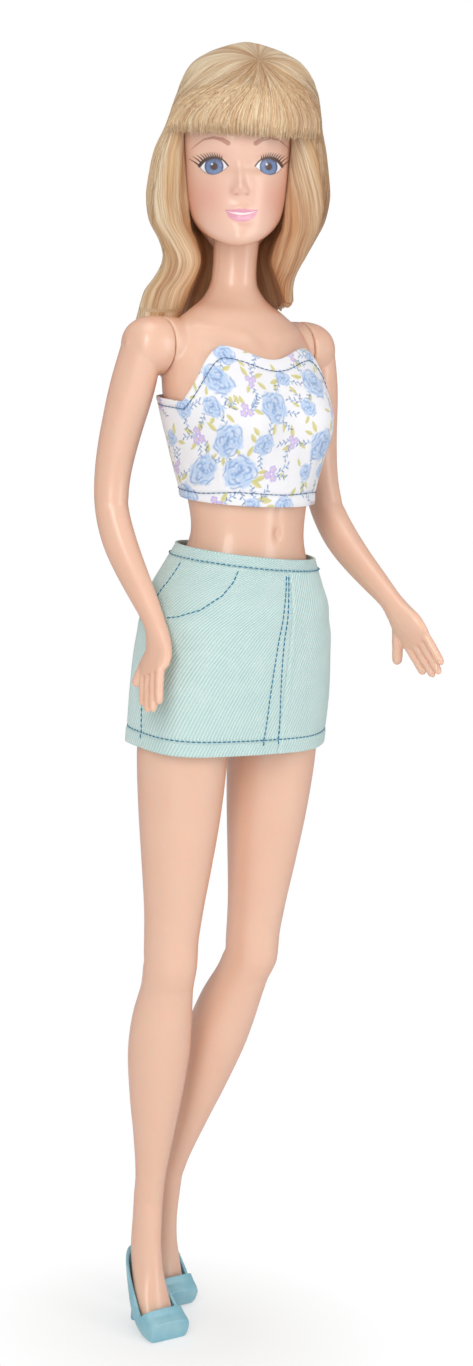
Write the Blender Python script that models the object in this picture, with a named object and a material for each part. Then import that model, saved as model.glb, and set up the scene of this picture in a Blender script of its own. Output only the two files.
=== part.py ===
# Fashion doll, 11.5 inch class, in a strapless top, a mini skirt and pumps.
# Metres, +Z up. The doll faces -Y and its left side is +X.
# The origin is in the bare waist, where a stand holds it.
# Heights in the sizes below are measured from the soles.

import math

import bmesh
import bpy
from mathutils import Matrix, Vector

# Overall places, as heights above the soles
HIP_HEIGHT = 0.152
KNEE_HEIGHT = 0.091
ANKLE_HEIGHT = 0.0308
TORSO_LENGTH = 0.114
CROTCH_BELOW_HIP = 0.0105
WAIST_SHARE = 5 / 12
BUST_BELOW_NECK_TOP = 0.0390
SHOULDER_BELOW_NECK_TOP = 0.0254
CHIN_BELOW_NECK_TOP = 0.0025
CROTCH_HEIGHT = HIP_HEIGHT - CROTCH_BELOW_HIP
NECK_TOP_HEIGHT = CROTCH_HEIGHT + TORSO_LENGTH
WAIST_HEIGHT = CROTCH_HEIGHT + TORSO_LENGTH * WAIST_SHARE
BUST_HEIGHT = NECK_TOP_HEIGHT - BUST_BELOW_NECK_TOP
SHOULDER_HEIGHT = NECK_TOP_HEIGHT - SHOULDER_BELOW_NECK_TOP
CHIN_HEIGHT = NECK_TOP_HEIGHT - CHIN_BELOW_NECK_TOP

# Clearances, walls and the overrun of a cut
GAP = 0.0003
WALL = 0.0014
TORSO_WALL = 0.0022
OVERRUN = 0.004

# Torso
HIP_HALF_WIDTH = 0.0218
HIP_HALF_DEPTH = 0.0153
TORSO_LEAN = 0.0126
BUST_SPREAD = 0.0105
BUST_DEPTH = 0.0048
BUST_SIZE = 0.0062
NECK_RADIUS = 0.0051
NECK_WIDTH_SHARE = NECK_RADIUS / HIP_HALF_WIDTH
NECK_DEPTH_SHARE = NECK_RADIUS / HIP_HALF_DEPTH
HOLLOW_ABOVE_HIP = 0.020
HOLLOW_BELOW_NECK_TOP = 0.027
# height share, half-width share, front share, back share, lean share
TORSO_SHARES = (
    (0.000, 0.20, 0.24, 0.24, 0.12),
    (0.022, 0.36, 0.46, 0.50, 0.12),
    (0.075, 0.62, 0.66, 0.78, 0.12),
    (0.128, 0.90, 0.74, 0.94, 0.14),
    (0.180, 0.99, 0.86, 1.00, 0.16),
    (0.225, 0.99, 0.94, 1.00, 0.16),
    (0.311, 0.85, 0.89, 0.89, 0.13),
    (0.373, 0.70, 0.80, 0.78, 0.06),
    (0.425, 0.62, 0.72, 0.71, 0.03),
    (0.496, 0.66, 0.77, 0.77, 0.12),
    (0.575, 0.77, 0.85, 0.85, 0.27),
    (0.662, 0.88, 0.88, 0.90, 0.44),
    (0.724, 0.89, 0.82, 0.87, 0.59),
    (0.776, 0.86, 0.70, 0.76, 0.71),
    (0.820, 0.74, 0.58, 0.62, 0.79),
    (0.851, 0.52, 0.49, 0.51, 0.83),
    (0.873, 0.34, 0.42, 0.42, 0.91),
    (0.908, NECK_WIDTH_SHARE, NECK_DEPTH_SHARE, NECK_DEPTH_SHARE, 0.98),
    (1.000, NECK_WIDTH_SHARE, NECK_DEPTH_SHARE, NECK_DEPTH_SHARE, 1.00),
)
TORSO_EXTRA_SHARES = (0.05, 0.10, 0.535, 0.605, 0.635, 0.69, 0.75)

# Shoulder joint
SHOULDER_HALF_SPAN = 0.0194
SHOULDER_SET_BACK = 0.0118
SHOULDER_RADIUS = 0.0065
SHOULDER_CAP_WIDTH = 0.0088
# radius share, place share along the half span
SHOULDER_BAR_SHARES = ((1.0, -1.0), (0.93, -0.55), (0.93, 0.55), (1.0, 1.0))
SHOULDER_CAP_SHARES = ((0.0, 1.0), (0.30, 0.985), (0.62, 0.86), (0.86, 0.57), (1.0, 0.0))
SHOULDER_PEG_RADIUS = 0.0018
SHOULDER_PEG_HEAD_RADIUS = 0.0034
SHOULDER_PEG_HEAD_LENGTH = 0.0016
SHOULDER_PEG_DEPTH = 0.0042

# Arms: each is one moulding with a bent elbow
ARM_CENTRE_OUT = 0.0048
UPPER_ARM_LENGTH = 0.0355
FOREARM_LENGTH = 0.0315
PALM_LENGTH = 0.0105
UPPER_ARM_RADIUS = 0.0046
UPPER_ARM_TILT_BACK = math.radians(7)
RIGHT_UPPER_ARM_TILT_OUT = math.radians(3.6)
LEFT_UPPER_ARM_TILT_OUT = math.radians(4.5)
FOREARM_TILT_FORWARD = math.radians(37)
RIGHT_FOREARM_TILT_OUT = math.radians(-2)
LEFT_FOREARM_TILT_OUT = math.radians(2.6)
HAND_TILT_FORWARD = math.radians(22)
HAND_TILT_OUT = math.radians(18)
LEFT_ARM_SWING = math.radians(16)
# share along the arm's three lengths (0 to 3), width share, depth share
ARM_SHARES = (
    (0.00, 0.86, 1.10),
    (0.25, 1.00, 1.12),
    (0.55, 0.92, 1.00),
    (0.85, 0.80, 0.90),
    (1.05, 0.76, 0.86),
    (1.30, 0.75, 0.84),
    (1.65, 0.60, 0.68),
    (1.92, 0.48, 0.56),
    (2.10, 0.50, 0.66),
    (2.45, 0.42, 1.00),
    (2.80, 0.34, 1.02),
    (3.00, 0.24, 0.88),
)
ARM_SQUARENESS = 2.2
WRIST = 2
THUMB_ROOT = 2.25
PALM_END = 3
FINGER_LENGTH = 0.0108
FINGER_RADIUS = 0.00108
FINGER_SPACING = 0.00206
FINGER_LENGTH_SHARES = (0.80, 0.97, 1.0, 0.88)
THUMB_LENGTH = 0.0100
THUMB_RADIUS = 0.00135
THUMB_SPREAD_SHARE = 0.90
FINGER_SHARES = ((0.0, 1.0), (0.45, 1.0), (0.85, 0.78), (1.0, 0.42))

# Hips and legs
HIP_OFFSET = 0.0130
HIP_SET_BACK = 0.0015
HIP_INNER_FACE = 0.0078
HIP_SWING_ROOM = 0.0023
HIP_DOME_RADIUS = 0.0123
HIP_DOME_WIDTH = 0.0142
HIP_DOME_SHARES = ((0.0, 1.0), (0.45, 0.97), (0.75, 0.83), (0.93, 0.55), (1.0, 0.0))
HIP_PEG_RADIUS = 0.0020
HIP_PEG_INNER_END = 0.0030
THIGH_TILT_IN = math.radians(1.3)
THIGH_RADIUS = 0.0101
# share from hip to knee, half-width share, half-depth share, forward share
THIGH_SHARES = (
    (0.04, 0.84, 1.02, 0.00),
    (0.14, 0.98, 1.03, 0.00),
    (0.24, 0.99, 1.01, 0.02),
    (0.42, 0.91, 0.93, 0.04),
    (0.60, 0.79, 0.81, 0.04),
    (0.78, 0.66, 0.69, 0.02),
    (0.90, 0.605, 0.64, 0.00),
    (1.00, 0.59, 0.62, 0.00),
)
KNEE_SLEEVE_HALF = 0.0086
KNEE_SKIN_SQUARENESS = 2.4
CALF_RADIUS = 0.0065
RIGHT_SHIN_TILT_BACK = math.radians(8.4)
LEFT_SHIN_TILT_BACK = math.radians(17)
SHIN_TILT_IN = math.radians(5.2)
SHIN_LENGTH = (KNEE_HEIGHT - ANKLE_HEIGHT) / (math.cos(SHIN_TILT_IN) * math.cos(RIGHT_SHIN_TILT_BACK))
# share from knee to ankle, half-width share, half-depth share, back share
SHIN_SHARES = (
    (0.00, 0.92, 0.96, 0.00),
    (0.10, 0.91, 0.95, 0.04),
    (0.24, 1.06, 1.08, 0.16),
    (0.38, 1.09, 1.11, 0.18),
    (0.56, 0.93, 0.95, 0.12),
    (0.74, 0.70, 0.72, 0.04),
    (0.90, 0.535, 0.56, 0.00),
    (1.00, 0.52, 0.56, 0.00),
)

# Foot on tiptoe, in a frame that is level when the right foot stands: its origin is in the ankle
FOOT_REACH = 0.0096
FOOT_DROP = 0.0284
FOOT_HALF_WIDTH = 0.0042
FOOT_HALF_DEPTH = 0.0047
# forward share, down share, half-width share, half-depth share
FOOT_SHARES = (
    (0.00, 0.00, 0.79, 0.76),
    (0.02, 0.20, 0.75, 0.84),
    (0.05, 0.40, 0.76, 0.90),
    (0.18, 0.60, 0.82, 0.88),
    (0.40, 0.77, 0.97, 0.73),
    (0.66, 0.90, 1.00, 0.56),
    (0.88, 0.965, 0.93, 0.40),
    (1.00, 0.985, 0.70, 0.24),
)

# Hard inner leg
CORE_RADIUS = 0.0030
CORE_TAPER_SHARE = 0.25
CORE_ROOT_SHARE = 0.90
TONGUE_NECK_SHARE = 1.5
CORE_EYE_RADIUS = 0.0046
CORE_EYE_WIDTH = 0.0040
KNEE_FORK_RADIUS = 0.0031
KNEE_FORK_WIDTH = 0.0062
KNEE_SKIN_WALL = 0.0012
KNEE_TONGUE_WIDTH = 0.0030
KNEE_PIN_RADIUS = 0.0009
SHIN_CORE_SHARE = 0.74

# Neck knob
KNOB_RADIUS = 0.0058
KNOB_HEIGHT = 0.0070
KNOB_STEM_RADIUS = 0.0026
KNOB_STEM_DEPTH = 0.0120
KNOB_SHARES = ((0.0, 1.0), (0.04, 0.62), (0.20, 0.94), (0.45, 1.0), (0.72, 1.0), (0.86, 0.66), (1.0, 0.62))

# Head, in its own frame: its origin is on the neck's axis at the chin's height
HEAD_TURN = math.radians(-35)
HEAD_TILT = math.radians(-4.2)
HEAD_HEIGHT = 0.0392
HEAD_HALF_WIDTH = 0.0131
HEAD_HALF_DEPTH = 0.0160
HEAD_WALL = 0.0017
HEAD_RIM_GAP = 0.0004
HEAD_BROW_ROW = 8
HEAD_JAW_ROW = 3
# front, side and back height shares, half-width share, front share, back share
HEAD_SHARES = (
    (0.060, 0.050, -0.080, 0.460, 0.40, 0.40),
    (0.020, 0.055, -0.090, 0.530, 0.62, 0.52),
    (0.000, 0.090, -0.050, 0.640, 0.84, 0.62),
    (0.030, 0.130, 0.010, 0.725, 0.94, 0.74),
    (0.090, 0.175, 0.090, 0.785, 0.935, 0.84),
    (0.185, 0.240, 0.190, 0.830, 0.91, 0.93),
    (0.285, 0.310, 0.285, 0.865, 0.90, 1.00),
    (0.380, 0.385, 0.380, 0.895, 0.90, 1.05),
    (0.450, 0.450, 0.450, 0.920, 0.86, 1.07),
    (0.600, 0.600, 0.600, 0.970, 0.915, 1.08),
    (0.760, 0.760, 0.760, 0.970, 0.83, 1.03),
    (0.890, 0.890, 0.890, 0.780, 0.60, 0.84),
    (0.965, 0.965, 0.965, 0.480, 0.34, 0.52),
    (1.000, 1.000, 1.000, 0.180, 0.12, 0.20),
)
# Face forms: name, side share, height share, depth share, width share, height spread share
FACE_SHARES = (
    (0.00, 0.305, 0.135, 0.075, 0.050),
    (0.00, 0.390, 0.070, 0.062, 0.080),
    (0.00, 0.190, 0.060, 0.190, 0.035),
    (0.00, 0.055, 0.045, 0.180, 0.050),
    (0.43, 0.440, -0.055, 0.200, 0.055),
    (-0.43, 0.440, -0.055, 0.200, 0.055),
)

# Hair: a cap round the head down to the jaw, and what hangs below it
# height share, centre share, half-width share, front share and back share of the head's own sizes
HAIR_SHARES = (
    (-0.41, -0.336, 1.351, 0.80, 1.28),
    (-0.26, -0.290, 1.260, 0.82, 1.25),
    (-0.18, -0.183, 1.191, 0.84, 1.22),
    (-0.08, -0.038, 1.198, 0.88, 1.22),
    (0.02, 0.015, 1.313, 0.92, 1.22),
    (0.13, 0.015, 1.481, 0.97, 1.25),
    (0.255, 0.030, 1.550, 1.00, 1.28),
    (0.357, 0.038, 1.530, 1.02, 1.29),
    (0.526, 0.062, 1.445, 1.03, 1.30),
    (0.640, 0.110, 1.330, 1.04, 1.30),
    (0.690, 0.135, 1.295, 1.06, 1.29),
    (0.860, 0.183, 1.160, 0.98, 1.19),
    (0.995, 0.168, 0.947, 0.70, 0.90),
    (1.060, 0.153, 0.650, 0.46, 0.64),
    (1.105, 0.153, 0.275, 0.19, 0.26),
    (1.120, 0.153, 0.060, 0.04, 0.05),
)
HAIR_FACE_HALF_ANGLE = math.radians(63)
HAIR_FACE_BLEND = math.radians(9)
HAIR_BACK_HALF_ANGLE = math.radians(72)
HAIR_FACE_SHARE = 0.72
HAIR_CAP_END_SHARE = 0.10
HAIR_INNER_TOP_SHARE = 0.90
FRINGE_EDGE_SHARE = 0.612
FRINGE_SLOPE_SHARE = 0.025
HANG_THICKNESS = 0.0034
HANG_EDGE_THICKNESS = 0.0072
HANG_EDGE_SPREAD = math.radians(22)
HANG_NECK_ROOM = 0.0016
HANG_TAPER_SHARE = 0.50
RIGHT_HANG_DROP = 0.0185
LEFT_HANG_DROP = 0.0125
CROWN_ROWS = 12

# Clothes: each wraps round and laps over itself behind, with a hook strip and a loop strip between
CLOTH_THICKNESS = 0.0006
CLOTH_CLEARANCE = 0.0007
FASTENER_WIDTH = 0.0050
FASTENER_THICKNESS = 0.0005
LAP_RISE_SHARE = 0.60
STRIP_HALF_SHARE = 0.42
TOP_HEM_HEIGHT = WAIST_HEIGHT + 0.0085
TOP_DIP_HEIGHT = NECK_TOP_HEIGHT - 0.0265
TOP_PEAK_HEIGHT = NECK_TOP_HEIGHT - 0.0240
TOP_SIDE_HEIGHT = NECK_TOP_HEIGHT - 0.0365
TOP_STRIP_SHARES = (0.04, 0.96)
TOP_EDGE_REACH_SHARE = 0.97
TOP_PEAK_SPREAD = 0.0128
TOP_FLARE = 0.0003
WAISTBAND_TOP_HEIGHT = WAIST_HEIGHT - 0.0028
WAISTBAND_DEPTH = 0.0026
SKIRT_LENGTH = 0.0440
SKIRT_HALF_WIDTH = HIP_HALF_WIDTH + 0.0020
SKIRT_HALF_DEPTH = HIP_HALF_DEPTH + 0.0019
SKIRT_FOLD_DEPTH = 0.0005
SKIRT_FOLDS = 5
SKIRT_FASTENER_SHARE = 0.42
SKIRT_SLOPE = 0.07
# share from waistband's top to hem, half-width share, front share, back share, squareness, forward share
SKIRT_SHARES = (
    (0.00, 0.640, 0.740, 0.735, 2.0, -0.03),
    (0.12, 0.750, 0.850, 0.840, 2.0, -0.05),
    (0.28, 0.870, 0.940, 0.930, 2.1, -0.09),
    (0.50, 0.945, 0.930, 0.920, 2.2, -0.11),
    (0.75, 0.985, 0.825, 0.800, 2.4, -0.09),
    (1.00, 0.975, 0.725, 0.740, 2.6, -0.07),
)

# Shoes, in the foot's frame
SHOE_WALL = 0.0008
SHOE_SIDE_ROOM = 0.0004
SHOE_TOE_WIDTH = 0.0050
SHOE_TOE_REACH = 0.0112
SHOE_TOE_ROWS = 1.2
SHOE_BACK_DROP = 0.0135
SHOE_VAMP_REACH = 0.0076
SHOE_VAMP_DROP = 0.0258
HEEL_TIP_RADIUS = 0.0012
HEEL_SEAT_RADIUS = 0.0024
HEEL_SET_BACK = 0.0014
HEEL_SEAT_DROP = 0.0170
# forward share, down share, half-width share, half-depth share, squareness
SHOE_SHARES = (
    (0.00, 0.28, 0.68, 0.82, 2.0),
    (0.02, 0.42, 0.69, 0.88, 2.0),
    (0.16, 0.60, 0.75, 0.92, 2.0),
    (0.38, 0.76, 0.86, 0.84, 2.2),
    (0.62, 0.88, 0.97, 0.68, 2.6),
    (0.92, 0.965, 1.00, 0.50, 3.2),
    (1.16, 0.995, 0.98, 0.38, 3.6),
    (1.30, 1.005, 0.90, 0.32, 3.6),
)

# Facets
BODY_SIDES = 26
LIMB_SIDES = 16
ROWS_PER_STATION = 2
CLOTH_COLUMNS = 38

SKIN = ("doll_skin_vinyl", (0.80, 0.53, 0.38), 0.38, 0.0)
HEAD_SKIN = ("doll_head_vinyl", (0.81, 0.54, 0.39), 0.42, 0.0)
CORE = ("hard_white_plastic", (0.78, 0.76, 0.72), 0.40, 0.0)
HAIR = ("blond_hair", (0.62, 0.45, 0.24), 0.45, 0.0)
TOP_CLOTH = ("printed_white_cotton", (0.86, 0.85, 0.92), 0.85, 0.0)
SKIRT_CLOTH = ("mint_twill", (0.53, 0.74, 0.70), 0.88, 0.0)
FASTENER = ("white_hook_and_loop", (0.85, 0.85, 0.84), 0.90, 0.0)
SHOE = ("pale_blue_plastic", (0.20, 0.44, 0.56), 0.35, 0.0)


def clear_scene():
    for old in list(bpy.data.objects):
        bpy.data.objects.remove(old, do_unlink=True)


def collection(name):
    made = bpy.data.collections.new(name)
    bpy.context.scene.collection.children.link(made)
    return made


def material(spec):
    name, colour, roughness, metallic = spec
    found = bpy.data.materials.get(name)
    if found:
        return found
    made = bpy.data.materials.new(name)
    made.use_nodes = True
    shader = made.node_tree.nodes["Principled BSDF"]
    shader.inputs["Base Color"].default_value = (*colour, 1.0)
    shader.inputs["Roughness"].default_value = roughness
    shader.inputs["Metallic"].default_value = metallic
    return made


def sample(rows, share):
    """A smooth curve through rows of numbers whose first number is the share along it."""
    if share <= rows[0][0]:
        return rows[0][1:]
    if share >= rows[-1][0]:
        return rows[-1][1:]
    last = next(i for i in range(1, len(rows)) if rows[i][0] >= share)
    low = rows[last - 1]
    high = rows[last]
    before = rows[max(last - 2, 0)]
    after = rows[min(last + 1, len(rows) - 1)]
    span = high[0] - low[0]
    t = (share - low[0]) / span
    values = []
    for k in range(1, len(low)):
        leave = (high[k] - before[k]) / (high[0] - before[0]) * span
        arrive = (after[k] - low[k]) / (after[0] - low[0]) * span
        values.append(
            low[k] * (2 * t**3 - 3 * t**2 + 1)
            + leave * (t**3 - 2 * t**2 + t)
            + high[k] * (3 * t**2 - 2 * t**3)
            + arrive * (t**3 - t**2)
        )
    return tuple(values)


def numbered(rows):
    """The same rows with their own number as the share along the curve."""
    return [(index, *row) for index, row in enumerate(rows)]


def steps(start, end, count):
    return [start + (end - start) * i / count for i in range(count + 1)]


def wave(angle, power):
    """Cosine and sine of a point on a superellipse: power 2 is an ellipse, more is squarer."""
    cosine, sine = math.cos(angle), math.sin(angle)
    return (
        math.copysign(abs(cosine) ** (2 / power), cosine),
        math.copysign(abs(sine) ** (2 / power), sine),
    )


def link(obj, parent, target):
    target.objects.link(obj)
    obj.parent = parent
    return obj


def empty(name, place, parent, turn=(0.0, 0.0, 0.0)):
    made = bpy.data.objects.new(name, None)
    made.empty_display_size = SHOULDER_RADIUS
    made.location = place
    made.rotation_euler = turn
    return link(made, parent, PARTS)


def mesh_object(name, build, spec, parent, target=None):
    mesh = bpy.data.meshes.new(name)
    bmesh.ops.recalc_face_normals(build, faces=build.faces)
    build.to_mesh(mesh)
    build.free()
    mesh.materials.append(material(spec))
    mesh.shade_smooth()
    mesh.set_sharp_from_angle(angle=math.radians(40))
    return link(bpy.data.objects.new(name, mesh), parent, target or PARTS)


def loft(name, loops, spec, parent, periodic=False, target=None):
    """A closed skin over loops of the same count of points, with its two ends closed or joined."""
    build = bmesh.new()
    rings = [[build.verts.new(point) for point in loop] for loop in loops]
    pairs = list(zip(rings, rings[1:]))
    if periodic:
        pairs.append((rings[-1], rings[0]))
    for low, high in pairs:
        for i, corner in enumerate(low):
            j = (i + 1) % len(low)
            build.faces.new((corner, low[j], high[j], high[i]))
    if not periodic:
        build.faces.new(rings[0])
        build.faces.new(rings[-1])
    return mesh_object(name, build, spec, parent, target)


def limb_loops(rows, sides, across=Vector((1, 0, 0)), power=2.0):
    """Loops square to a path: each row is its centre, half-width along `across`, and half-depth."""
    loops = []
    for i, (centre, half_width, half_depth) in enumerate(rows):
        before = rows[max(i - 1, 0)][0]
        after = rows[min(i + 1, len(rows) - 1)][0]
        along = (after - before).normalized()
        wide = (across - along * across.dot(along)).normalized()
        deep = along.cross(wide)
        loop = []
        for k in range(sides):
            cosine, sine = wave(math.tau * k / sides, power)
            loop.append(centre + wide * (half_width * cosine) + deep * (half_depth * sine))
        loops.append(loop)
    return loops


def revolve(name, outline, axis, spec, parent, place=(0, 0, 0), target=None, sides=None, phase=0.0):
    """A turned solid about an axis of its own frame. The outline is (radius, distance along it)."""
    count = sides or LIMB_SIDES
    turn = Vector((0, 0, 1)).rotation_difference(Vector(axis)).to_matrix()
    origin = Vector(place)
    loops = []
    for radius, along in outline:
        loop = []
        for k in range(count):
            angle = math.tau * (k + phase) / count
            loop.append(origin + turn @ Vector((radius * math.cos(angle), radius * math.sin(angle), along)))
        loops.append(loop)
    return loft(name, loops, spec, parent, target=target)


def boolean(obj, other, operation):
    step = obj.modifiers.new(f"{operation.lower()}_{other.name}", "BOOLEAN")
    step.operation = operation
    step.object = other
    step.solver = "EXACT"
    return obj


def hide(cutter):
    cutter.hide_render = True
    cutter.display_type = "WIRE"
    return cutter


def cutter_loft(name, loops, parent):
    return hide(loft(name, loops, CORE, parent, target=CUTTERS))


def cutter_turned(name, outline, axis, parent, place=(0, 0, 0), sides=None):
    return hide(revolve(name, outline, axis, CORE, parent, place, CUTTERS, sides, phase=0.5))


def cutter_box(name, low, high, parent):
    build = bmesh.new()
    bmesh.ops.create_cube(build, size=1.0)
    for vertex in build.verts:
        vertex.co = Vector((low[k] + (high[k] - low[k]) * (vertex.co[k] + 0.5) for k in range(3)))
    return hide(mesh_object(name, build, CORE, parent, CUTTERS))


def torso_point(angle, height, outward=0.0):
    """A point of the torso's skin at an angle round it and a height above the soles."""
    share = (height - CROTCH_HEIGHT) / TORSO_LENGTH
    half_width, front, back, lean = sample(TORSO_SHARES, share)
    depth = (front if math.sin(angle) < 0 else back) * HIP_HALF_DEPTH
    x = (half_width * HIP_HALF_WIDTH + outward) * math.cos(angle)
    y = TORSO_LEAN * lean + (depth + outward) * math.sin(angle)
    if math.sin(angle) < 0:
        for side in (-1, 1):
            across = (x - side * BUST_SPREAD) / BUST_SIZE
            up = (height - BUST_HEIGHT) / BUST_SIZE
            y -= BUST_DEPTH * math.exp(-(across**2 + up**2) / 2)
    return Vector((x, y, height))


def torso_loops(heights, sides, outward=0.0):
    return [[torso_point(math.tau * k / sides, h, outward) for k in range(sides)] for h in heights]


def shoulder_place(side):
    return Vector((side * SHOULDER_HALF_SPAN, SHOULDER_SET_BACK, SHOULDER_HEIGHT))


def hip_place(side):
    return Vector((side * HIP_OFFSET, HIP_SET_BACK, HIP_HEIGHT))


def torso_solid(name, back):
    """One half of the torso: the whole form, cut for the joints, hollowed and split at the sides."""
    shares = sorted([row[0] for row in TORSO_SHARES] + list(TORSO_EXTRA_SHARES))
    heights = [CROTCH_HEIGHT + TORSO_LENGTH * share for share in shares]
    whole = loft(name, torso_loops(heights, BODY_SIDES), SKIN, DOLL)
    half = "back" if back else "front"
    bar = cutter_turned(
        f"shoulder_bar_{half}",
        [(SHOULDER_RADIUS * r, SHOULDER_HALF_SPAN * a) for r, a in SHOULDER_BAR_SHARES],
        (1, 0, 0),
        DOLL,
        (0, SHOULDER_SET_BACK, SHOULDER_HEIGHT),
    )
    boolean(whole, bar, "UNION")
    low = HIP_HEIGHT + HOLLOW_ABOVE_HIP
    high = NECK_TOP_HEIGHT - HOLLOW_BELOW_NECK_TOP
    hollow = torso_loops(steps(low, high, 8), LIMB_SIDES, -TORSO_WALL)
    boolean(whole, cutter_loft(f"torso_hollow_{half}", hollow, DOLL), "DIFFERENCE")
    for side in (-1, 1):
        cut_torso_joints(whole, side, f"{half}_{'left' if side > 0 else 'right'}")
    stem = KNOB_STEM_RADIUS + GAP
    neck = (0, TORSO_LEAN, NECK_TOP_HEIGHT)
    stem_outline = [(stem, -KNOB_STEM_DEPTH - GAP), (stem, OVERRUN)]
    stem_bore = cutter_turned(f"neck_bore_{half}", stem_outline, (0, 0, 1), DOLL, neck)
    boolean(whole, stem_bore, "DIFFERENCE")
    boolean(whole, torso_split(half, back), "DIFFERENCE")


def cut_torso_joints(whole, side, label):
    """The shoulder's bore with its counterbore, the thigh's seat and the hip peg's bore on one side."""
    shoulder = (0, SHOULDER_SET_BACK, SHOULDER_HEIGHT)
    peg = SHOULDER_PEG_RADIUS + GAP
    head = SHOULDER_PEG_HEAD_RADIUS + GAP
    seat = SHOULDER_HALF_SPAN - WALL
    inner = seat - SHOULDER_PEG_HEAD_LENGTH - GAP * 3
    outline = [(head, inner), (head, seat), (peg, seat), (peg, SHOULDER_HALF_SPAN + OVERRUN)]
    bore = cutter_turned(f"shoulder_bore_{label}", outline, (side, 0, 0), DOLL, shoulder)
    boolean(whole, bore, "DIFFERENCE")
    hip = (0, HIP_SET_BACK, HIP_HEIGHT)
    boolean(whole, cutter_loft(f"hip_seat_{label}", hip_seat_loops(side), DOLL), "DIFFERENCE")
    peg = HIP_PEG_RADIUS + GAP
    outline = [(peg, HIP_PEG_INNER_END - GAP), (peg, HIP_INNER_FACE + OVERRUN)]
    bore = cutter_turned(f"hip_bore_{label}", outline, (side, 0, 0), DOLL, hip)
    boolean(whole, bore, "DIFFERENCE")


def hip_seat_loops(side):
    """The room that a thigh needs: round over the joint, and open in front and below for the swing."""
    radius = HIP_DOME_RADIUS + GAP
    level = THIGH_RADIUS + HIP_SWING_ROOM
    front = math.pi - math.asin(level / radius)
    far = HIP_HALF_DEPTH * 2
    outline = [(radius * math.cos(a), radius * math.sin(a)) for a in steps(0.0, front, LIMB_SIDES)]
    outline += [(-far, level), (-far, -far), (radius, -far)]
    loops = []
    for x in (HIP_INNER_FACE - GAP, HIP_HALF_WIDTH + OVERRUN):
        loops.append([Vector((side * x, HIP_SET_BACK + y, HIP_HEIGHT + z)) for y, z in outline])
    return loops


def torso_split(half, back):
    """What lies on the other side of the seam, which follows the joints up the sides of the torso."""
    edge = GAP / 2 if back else -GAP / 2
    far = HIP_HALF_DEPTH * 3
    seam = (
        (CROTCH_HEIGHT - OVERRUN, HIP_SET_BACK),
        (HIP_HEIGHT, HIP_SET_BACK),
        (WAIST_HEIGHT, HIP_SET_BACK),
        (SHOULDER_HEIGHT, SHOULDER_SET_BACK),
        (NECK_TOP_HEIGHT, TORSO_LEAN),
        (NECK_TOP_HEIGHT + OVERRUN, TORSO_LEAN),
    )
    wide = HIP_HALF_WIDTH + OVERRUN
    loops = []
    for height, middle in seam:
        near = middle + edge
        away = middle + (-far if back else far)
        corners = ((-wide, near), (wide, near), (wide, away), (-wide, away))
        loops.append([Vector((x, y, height)) for x, y in corners])
    return cutter_loft(f"torso_seam_{half}", loops, DOLL)


def neck_knob():
    outline = [(KNOB_STEM_RADIUS, -KNOB_STEM_DEPTH), (KNOB_STEM_RADIUS, GAP)]
    outline += [(share * KNOB_RADIUS, GAP + along * KNOB_HEIGHT) for along, share in KNOB_SHARES[1:]]
    revolve("neck_knob", outline, (0, 0, 1), CORE, DOLL, (0, TORSO_LEAN, NECK_TOP_HEIGHT))


def arm_row(along, side):
    """Centre, half-width and half-depth of the arm at a place from 0, the shoulder, to 3, the fingers."""
    lengths = (UPPER_ARM_LENGTH, FOREARM_LENGTH, PALM_LENGTH)
    upper_out = LEFT_UPPER_ARM_TILT_OUT if side > 0 else RIGHT_UPPER_ARM_TILT_OUT
    forearm_out = LEFT_FOREARM_TILT_OUT if side > 0 else RIGHT_FOREARM_TILT_OUT
    leans = (
        (math.tan(upper_out), math.tan(UPPER_ARM_TILT_BACK)),
        (math.tan(forearm_out), -math.tan(FOREARM_TILT_FORWARD)),
        (math.tan(HAND_TILT_OUT), -math.tan(HAND_TILT_FORWARD)),
    )
    corners = [Vector((side * ARM_CENTRE_OUT, 0, 0))]
    for length, (out, back) in zip(lengths, leans):
        corners.append(corners[-1] + Vector((side * out, back, -1)).normalized() * length)
    place = Vector(sample(numbered(corners), along))
    width, depth = sample(ARM_SHARES, along)
    return place, width * UPPER_ARM_RADIUS, depth * UPPER_ARM_RADIUS


def finger(name, root, direction, length, radius, parent):
    rows = [(root + direction * (length * a), radius * r, radius * r) for a, r in FINGER_SHARES]
    return cutter_loft(name, limb_loops(rows, LIMB_SIDES // 2), parent)


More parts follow.
